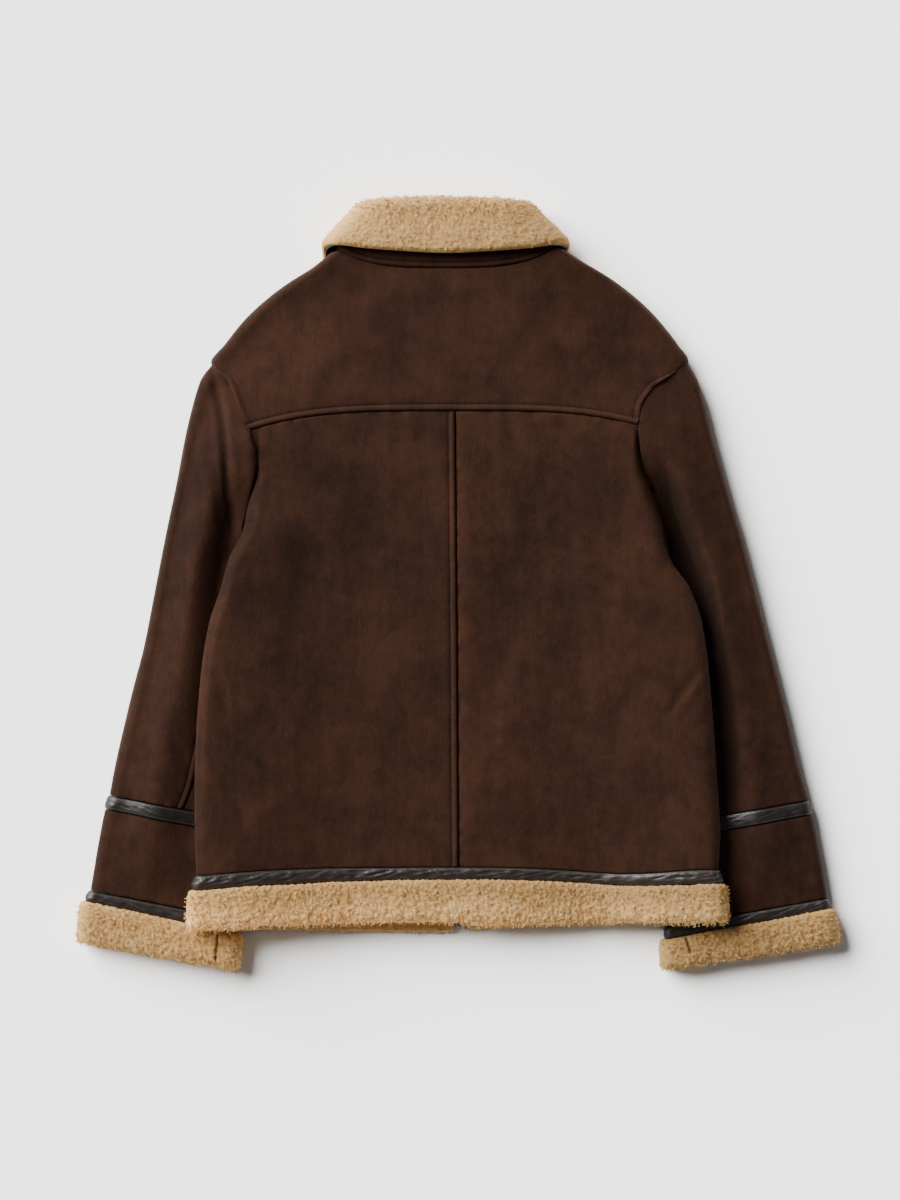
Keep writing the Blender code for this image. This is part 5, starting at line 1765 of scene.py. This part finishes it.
class Wire:
    """A socket of a material; sums and products of wires add the Math nodes for them."""

    def __init__(self, tree, socket):
        self.tree, self.socket = tree, socket

    def node(self, kind, settings=None, inputs=None, out=0):
        """Adds a node: its type, its settings, then the values or wires of its sockets."""
        made = self.tree.nodes.new(kind)
        for name, value in (settings or {}).items():
            setattr(made, name, value)
        for name, value in (inputs or {}).items():
            if isinstance(value, Wire):
                self.tree.links.new(value.socket, made.inputs[name])
            else:
                made.inputs[name].default_value = value
        return Wire(self.tree, made.outputs[out])

    def math(self, operation, first, second):
        """The operation's result on two wires or numbers."""
        return self.node("ShaderNodeMath", {"operation": operation}, {0: first, 1: second})

    def __add__(self, other):
        return self.math("ADD", self, other)

    def __radd__(self, other):
        return self.math("ADD", other, self)

    def __sub__(self, other):
        return self.math("SUBTRACT", self, other)

    def __rsub__(self, other):
        return self.math("SUBTRACT", other, self)

    def __mul__(self, other):
        return self.math("MULTIPLY", self, other)

    def __rmul__(self, other):
        return self.math("MULTIPLY", other, self)

    def noise(self, millimetres, detail=2.0, rough=0.5, distortion=0.0):
        """Noise on this wire's places, in patches about this many millimetres wide."""
        return self.node("ShaderNodeTexNoise", {}, {
            "Vector": self, "Scale": 1.0 / (millimetres * MM), "Detail": detail,
            "Roughness": rough, "Distortion": distortion,
        })

    def stretched(self, x, y, z):
        """These places with each axis multiplied."""
        return self.node("ShaderNodeVectorMath", {"operation": "MULTIPLY"}, {0: self, 1: (x, y, z)})

    def within(self, low, high):
        """This wire as a soft step from 0 at low to 1 at high."""
        return self.node("ShaderNodeMapRange", {"interpolation_type": "SMOOTHSTEP"}, {
            "Value": self, "From Min": low, "From Max": high})

    def mixed(self, first, second):
        """Colour between first and second, a colour or a wire each, by this wire."""
        first, second = (end if isinstance(end, Wire) else (*end, 1.0) for end in (first, second))
        return self.node("ShaderNodeMix", {"data_type": "RGBA"}, {0: self, 6: first, 7: second}, 2)

    def number(self, name):
        """A number that the mesh carries at each point."""
        return self.node("ShaderNodeAttribute", {"attribute_name": name}, {}, 2)


def new_material(name, shared):
    """Material with the shader's even settings, and the wire of its object coordinates."""
    made = bpy.data.materials.new(name)
    made.use_nodes = True
    tree = made.node_tree
    shader = tree.nodes["Principled BSDF"]
    for socket, value in shared.items():
        shader.inputs[socket].default_value = value
    places = tree.nodes.new("ShaderNodeTexCoord")
    return made, shader, Wire(tree, places.outputs["Object"])


def feed(shader, socket, wire):
    """Leads a wire into one of the shader's sockets."""
    wire.tree.links.new(wire.socket, shader.inputs[socket])


def bump(shader, height, distance, strength=1.0):
    """Raises the surface by a height wire, in millimetres."""
    feed(shader, "Normal", height.node("ShaderNodeBump", {}, {
        "Strength": strength, "Distance": distance * MM, "Height": height}))


def shade(colour, times):
    """A colour made darker or lighter."""
    return tuple(times * part for part in colour)


def suede_material(colours):
    """Napped suede: cloudy patches, faint streaks down the skin, brushed marks and fine nap, with
    the painted shade and highlights of the mesh's tone number.
    """
    made, shader, place = new_material("suede_nap", {
        "Sheen Weight": 0.13, "Sheen Roughness": 0.45, "Specular IOR Level": 0.2,
        "Sheen Tint": (*colours.suede_sheen, 1.0),
    })
    cloud = place.noise(52.0, 3.0, 0.55, 0.4)
    patch = place.noise(14.0, 3.0, 0.6, 0.5)
    streak = place.stretched(1.0, 0.16, 1.0).noise(11.0, 3.0, 0.6)
    brushed = place.stretched(1.0, 0.5, 1.0).noise(3.6, 3.0, 0.65, 0.8)
    nap = place.noise(0.9, 2.0, 0.7)
    tone = 1.1 * cloud + 0.75 * patch + 0.55 * streak + 0.65 * brushed + 0.7 * nap - 1.375
    # The mesh's tone number adds painted shade in grooves and creases and painted highlights
    tone = tone + place.number("tone")
    colour = tone.within(-0.35, 1.35).mixed(colours.suede_deep, colours.suede_light)
    feed(shader, "Base Color", colour)
    feed(shader, "Roughness", 0.82 + 0.16 * brushed)
    bump(shader, 0.5 * nap + 0.9 * brushed + 0.6 * patch, 0.55)
    return made


def leather_material(colours):
    """Smooth leather: pebbled grain, dull creases, cloudy gloss, and painted sheen and shade from
    the mesh's numbers.
    """
    made, shader, place = new_material("dark_leather", {"Specular IOR Level": 0.55})
    grain = place.node("ShaderNodeTexVoronoi", {"feature": "F1"}, {
        "Vector": place, "Scale": 1.0 / (1.3 * MM)})
    cloud = place.noise(9.0, 3.0, 0.6)
    crease = place.number("crease")
    tone = cloud * 0.6 + crease * 0.3 + place.number("pale")
    feed(shader, "Base Color", tone.mixed(colours.leather_deep, colours.leather_light))
    feed(shader, "Roughness", 0.27 + 0.2 * cloud + 0.1 * crease)
    bump(shader, 0.4 * grain + 1.0 * cloud, 0.3)
    return made


def fleece_material(colours):
    """Curly pile: painted shade in the clefts, painted highlight on the tips, warm patches, a fine
    woolly grain, and painted light from the mesh's lit number.
    """
    made, shader, place = new_material("curly_fleece", {
        "Sheen Weight": 0.15, "Sheen Roughness": 0.6, "Specular IOR Level": 0.1,
        "Roughness": 0.95, "Sheen Tint": (1.0, 0.78, 0.5, 1.0),
    })
    depth = place.number("depth")
    wool = place.noise(1.1, 2.0, 0.6, 1.0)
    patch = place.noise(24.0, 2.0, 0.5)
    side = (depth + 0.3 * wool).within(0.12, 0.75).mixed(colours.fleece_cleft_shade, colours.fleece_main)
    tip_highlight = (depth * 0.9 + 0.3 * wool + 0.5 * patch + 0.25 * place.number("big")).within(0.75, 1.45)
    colour = tip_highlight.mixed(side, colours.fleece_tip_highlight)
    # The colour times the mesh's lit number, which is painted light
    feed(shader, "Base Color", colour.node(
        "ShaderNodeVectorMath", {"operation": "MULTIPLY"}, {0: colour, 1: place.number("lit")}))
    bump(shader, wool + 0.4 * depth, 0.4)
    return made


def thread_material(name, colour):
    """Twisted thread: slanting strands in its colour and its relief."""
    made, shader, place = new_material(name, {"Roughness": 0.6, "Sheen Weight": 0.2})
    strand = place.stretched(1.0, 1.0, 0.4).noise(0.5, 1.0)
    feed(shader, "Base Color", strand.mixed(shade(colour, 0.6), shade(colour, 1.4)))
    bump(shader, strand, 0.1)
    return made


def tape_material(colours):
    """Woven tape: crossing ribs of thread."""
    made, shader, place = new_material("zip_tape_weave", {"Roughness": 0.85, "Sheen Weight": 0.2})
    ribs, across = (place.node("ShaderNodeTexWave", {"bands_direction": axis}, {
        "Vector": place, "Scale": scale, "Distortion": 0.4})
        for axis, scale in (("Y", 180.0), ("X", 260.0)))
    weave = 0.5 * ribs + 0.5 * across
    feed(shader, "Base Color", weave.mixed(shade(colours.tape, 0.6), colours.tape))
    bump(shader, weave, 0.15)
    return made


def metal_material(colours):
    """Dark burnished metal, brighter where it is rubbed."""
    made, shader, place = new_material("burnished_metal", {"Metallic": 1.0})
    painted_highlight = place.noise(4.0, 3.0, 0.6)
    feed(shader, "Base Color", painted_highlight.mixed(colours.metal, shade(colours.metal, 1.8)))
    feed(shader, "Roughness", 0.28 + 0.25 * painted_highlight)
    bump(shader, place.noise(0.6, 2.0), 0.04)
    return made


def all_finishes():
    """Record slot and material of each finish; the materials are made the first time."""
    colours = bpy.context.scene.jacket_colours
    if "suede_nap" not in bpy.data.materials:
        suede_material(colours)
        leather_material(colours)
        fleece_material(colours)
        thread_material("seam_thread", colours.thread)
        thread_material("strip_thread", colours.strip_thread)
        tape_material(colours)
        metal_material(colours)
    slots = {
        "suede": ("suede", "suede_nap"), "leather": ("leather", "dark_leather"),
        "fleece": ("fleece", "curly_fleece"), "thread": ("suede", "seam_thread"),
        "leather_thread": ("leather", "strip_thread"), "zip_tape": ("zip_tape", "zip_tape_weave"),
        "zip_metal": ("zip_metal", "burnished_metal"),
    }
    return {key: (slot, bpy.data.materials[name]) for key, (slot, name) in slots.items()}


# -------- stage

# Height of the camera's sensor in millimetres, height of the plane that the view is measured on,
# and how far the floor lies below the jacket, in metres
SENSOR = 24.0
VIEW_PLANE = 0.02
FLOOR_LOW = 0.0002


def make_stage(stage):
    """Pale floor, one broad soft key light from the upper left, even fill and the camera."""
    scene = bpy.context.scene
    half = stage.floor_size / 2.0
    corners = np.array([(-half, -half, 0), (half, -half, 0), (half, half, 0), (-half, half, 0)])
    mesh = bpy.data.meshes.new("floor")
    mesh.from_pydata((corners - (0, 0, FLOOR_LOW)).tolist(), [], [(0, 1, 2, 3)])
    made, shader, place = new_material("pale_floor", {"Roughness": 0.95, "Specular IOR Level": 0.1})
    even = place.noise(900.0, 1.0)
    feed(shader, "Base Color", even.mixed(shade(stage.floor_colour, 0.995), stage.floor_colour))
    mesh.materials.append(made)
    floor = bpy.data.objects.new("floor", mesh)
    scene.collection.objects.link(floor)

    # Of the two suns of one direction, the second lights only the floor
    for name, power in (("key", stage.key_power), ("floor_key", stage.floor_power)):
        sun = bpy.data.lights.new(name, "SUN")
        sun.energy, sun.angle, sun.color = power, stage.key_angle, stage.key_colour
        lamp = bpy.data.objects.new(name, sun)
        lamp.rotation_euler = (stage.key_tilt, 0.0, stage.key_turn)
        scene.collection.objects.link(lamp)
    lit = bpy.data.collections.new("floor_only")
    lit.objects.link(floor)
    lamp.light_linking.receiver_collection = lit

    world = bpy.data.worlds.new("fill")
    world.use_nodes = True
    sky = world.node_tree.nodes["Background"]
    sky.inputs["Color"].default_value = (*stage.fill_colour, 1.0)
    sky.inputs["Strength"].default_value = stage.fill_power
    scene.world = world

    lens = bpy.data.cameras.new("camera")
    lens.sensor_fit = "VERTICAL"
    lens.sensor_height = SENSOR
    lens.lens = SENSOR * (stage.camera_height - VIEW_PLANE) / stage.view_height
    lens.clip_end = 60.0
    camera = bpy.data.objects.new("camera", lens)
    camera.location = (*stage.view_centre, stage.camera_height)
    scene.collection.objects.link(camera)
    scene.camera = camera


# -------- add-on


def size_property(name, description, default):
    """Size in millimetres that a user may change."""
    return bpy.props.FloatProperty(name=name, description=description, default=default, min=0.05)


def stage_property(name, description, default, **kind):
    """Number of the stage that a user may change; kind is its unit or subtype."""
    return bpy.props.FloatProperty(name=name, description=description, default=default, **kind)


def colour_property(name, description, default):
    """Colour that a user may change."""
    return bpy.props.FloatVectorProperty(
        name=name, description=description, default=default, subtype="COLOR", size=3,
        min=0.0, max=1.0
    )


class JacketSizes(bpy.types.PropertyGroup):
    """Sizes of the jacket's make, in millimetres."""

    pitch: size_property("Grid pitch", "Spacing of the shown cloth's grid, in millimetres", 3.5)
    hidden_pitch: size_property("Hidden grid pitch", "Spacing of the hidden cloth's grid", 7.5)
    suede_thick: size_property("Suede thickness", "Thickness of the suede walls", 2.2)
    leather_thick: size_property("Leather thickness", "Thickness of the leather strips", 1.9)
    welt_wide: size_property("Welt width", "From a seam to its stitch line", 6.5)
    welt_high: size_property("Welt height", "Height of the band beside a seam", 0.6)
    stitch_deep: size_property("Stitch depth", "Depth of the groove that the stitches pull", 0.75)
    stitch_pitch: size_property("Stitch pitch", "From one seam stitch to the next", 3.7)
    stitch_long: size_property("Stitch length", "Length of one seam stitch", 2.9)
    stitch_thick: size_property("Thread radius", "Radius of the seam thread", 0.36)
    fine_pitch: size_property("Strip stitch pitch", "Stitch spacing on the leather strips", 2.9)
    pile_pitch: size_property("Pile grid pitch", "Spacing of the pile's grid", 1.15)
    pile_high: size_property("Pile relief", "Height of the curls over the clefts", 1.9)
    curl: size_property("Curl size", "Width of the small curls of the pile", 3.9)
    tuft_long: size_property("Lock length", "Length of a scattered lock of pile", 3.0)
    tuft_thick: size_property("Lock radius", "Radius of a scattered lock of pile", 0.62)
    locks: bpy.props.IntProperty(
        name="Locks", description="Number of scattered locks on the hem", default=3000, min=8
    )

    @property
    def stitch(self):
        """Pitch, length and radius of the seam stitches."""
        return self.stitch_pitch, self.stitch_long, self.stitch_thick

    @property
    def fine_stitch(self):
        """Pitch, length and radius of the stitches on the leather strips."""
        return self.fine_pitch, 0.76 * self.fine_pitch, 0.8 * self.stitch_thick


class JacketColours(bpy.types.PropertyGroup):
    """Colours of the jacket's finishes."""

    suede_deep: colour_property("Suede, deep", "Nap brushed away", (0.0155, 0.0057, 0.0028))
    suede_light: colour_property("Suede, light", "Nap brushed up", (0.0715, 0.0272, 0.0135))
    suede_sheen: colour_property("Suede sheen", "Tint of the nap's sheen", (0.80, 0.43, 0.27))
    leather_deep: colour_property("Leather, deep", "Hollows of the leather", (0.010, 0.008, 0.0075))
    leather_light: colour_property("Leather, light", "Raised leather", (0.050, 0.040, 0.034))
    # The fleece's deep colour is painted shade in the clefts, and its tip colour a painted
    # highlight on the curl tops
    fleece_cleft_shade: colour_property("Fleece, deep", "Clefts between the curls", (0.32, 0.150, 0.048))
    fleece_main: colour_property("Fleece", "Sides of the curls", (0.70, 0.395, 0.140))
    fleece_tip_highlight: colour_property("Fleece, tips", "Tips of the curls", (0.85, 0.560, 0.240))
    thread: colour_property("Thread", "Seam thread", (0.040, 0.019, 0.011))
    strip_thread: colour_property("Strip thread", "Thread on the leather", (0.120, 0.104, 0.092))
    tape: colour_property("Zip tape", "Woven tape", (0.016, 0.012, 0.010))
    metal: colour_property("Zip metal", "Burnished metal", (0.10, 0.09, 0.08))


class JacketStage(bpy.types.PropertyGroup):
    """Floor, lights and camera."""

    floor_size: stage_property("Floor", "Side of the floor", 60.0, unit="LENGTH")
    floor_colour: colour_property("Floor colour", "Pale floor", (0.85, 0.85, 0.85))
    key_power: stage_property("Key", "Key light's strength", 6.7)
    floor_power: stage_property(
        "Floor key", "Strength of the second key light, which lights only the floor", 17.6
    )
    key_angle: stage_property("Key softness", "How wide the key light looks", 0.9, subtype="ANGLE")
    key_tilt: stage_property("Key tilt", "Key light's angle from overhead", 1.08, subtype="ANGLE")
    key_turn: stage_property("Key turn", "Side the key light comes from", -2.24, subtype="ANGLE")
    key_colour: colour_property("Key colour", "Colour of the key light", (1.0, 0.985, 0.965))
    fill_power: stage_property("Fill", "Even light's strength", 0.15)
    fill_colour: colour_property("Fill colour", "Colour of the even light", (0.97, 0.985, 1.0))
    camera_height: stage_property("Camera height", "Height over the floor", 5.0, unit="LENGTH")
    view_height: stage_property("View", "Height of what the camera sees", 1.236, unit="LENGTH")
    view_centre: bpy.props.FloatVectorProperty(
        name="View centre", description="Place that the camera stands over", size=2,
        default=(-0.0086, -0.0161), unit="LENGTH"
    )


class JACKET_OT_backs(bpy.types.Operator):
    """Make the back yoke and both back panels, with their seams"""

    bl_idname = "jacket.backs"
    bl_label = "Yoke and backs"

    def execute(self, context):
        make_backs(context.scene.jacket_sizes, all_finishes())
        return {"FINISHED"}


class JACKET_OT_fronts(bpy.types.Operator):
    """Make both front panels, which lie underneath"""

    bl_idname = "jacket.fronts"
    bl_label = "Fronts"

    def execute(self, context):
        make_fronts(context.scene.jacket_sizes, all_finishes())
        return {"FINISHED"}


class JACKET_OT_sleeves(bpy.types.Operator):
    """Make the top, under and lower sleeves"""

    bl_idname = "jacket.sleeves"
    bl_label = "Sleeves"

    def execute(self, context):
        make_sleeves(context.scene.jacket_sizes, all_finishes())
        return {"FINISHED"}


class JACKET_OT_strips(bpy.types.Operator):
    """Make the sleeve straps and the leather strips of the cuffs and the hem"""

    bl_idname = "jacket.strips"
    bl_label = "Leather strips"

    def execute(self, context):
        make_strips(context.scene.jacket_sizes, all_finishes())
        return {"FINISHED"}


class JACKET_OT_fleece(bpy.types.Operator):
    """Make the fleece bands of the hem and the cuffs"""

    bl_idname = "jacket.fleece"
    bl_label = "Fleece trim"

    def execute(self, context):
        make_fleece(context.scene.jacket_sizes, all_finishes())
        return {"FINISHED"}


class JACKET_OT_collar(bpy.types.Operator):
    """Make the collar's pile, its leather underside and its suede stand"""

    bl_idname = "jacket.collar"
    bl_label = "Collar"

    def execute(self, context):
        make_collar(context.scene.jacket_sizes, all_finishes())
        return {"FINISHED"}


class JACKET_OT_zip(bpy.types.Operator):
    """Make the zip's tapes, teeth, slider and end box"""

    bl_idname = "jacket.zip"
    bl_label = "Zip"

    def execute(self, context):
        make_zip(context.scene.jacket_sizes, all_finishes())
        return {"FINISHED"}


class JACKET_OT_stage(bpy.types.Operator):
    """Make the floor, the lights and the camera"""

    bl_idname = "jacket.stage"
    bl_label = "Stage"

    def execute(self, context):
        make_stage(context.scene.jacket_stage)
        return {"FINISHED"}


OPERATORS = (
    JACKET_OT_backs, JACKET_OT_fronts, JACKET_OT_sleeves, JACKET_OT_strips, JACKET_OT_fleece,
    JACKET_OT_collar, JACKET_OT_zip, JACKET_OT_stage,
)
GROUPS = {
    "jacket_sizes": JacketSizes, "jacket_colours": JacketColours, "jacket_stage": JacketStage,
}


class JACKET_PT_panel(bpy.types.Panel):
    """Lists the jacket's pieces and what can be changed"""

    bl_idname = "JACKET_PT_panel"
    bl_label = "Shearling jacket"
    bl_space_type = "VIEW_3D"
    bl_region_type = "UI"
    bl_category = "Jacket"

    def draw(self, context):
        for operator in OPERATORS:
            self.layout.operator(operator.bl_idname)
        for name, group in GROUPS.items():
            box = self.layout.box()
            for key in group.__annotations__:
                box.prop(getattr(context.scene, name), key)


def register():
    """Registers the settings, the operators and the panel."""
    for name, group in GROUPS.items():
        bpy.utils.register_class(group)
        setattr(bpy.types.Scene, name, bpy.props.PointerProperty(type=group))
    for thing in (*OPERATORS, JACKET_PT_panel):
        bpy.utils.register_class(thing)


def unregister():
    """Takes all of them out again."""
    for thing in (JACKET_PT_panel, *reversed(OPERATORS)):
        bpy.utils.unregister_class(thing)
    for name, group in GROUPS.items():
        delattr(bpy.types.Scene, name)
        bpy.utils.unregister_class(group)


def main():
    """Builds the jacket and its stage."""
    register()
    for thing in list(bpy.data.objects):
        if thing.name in ("Cube", "Light", "Camera"):
            bpy.data.objects.remove(thing, do_unlink=True)
    for operator in OPERATORS:
        group, name = operator.bl_idname.split(".")
        getattr(getattr(bpy.ops, group), name)()


if __name__ == "__main__":
    main()
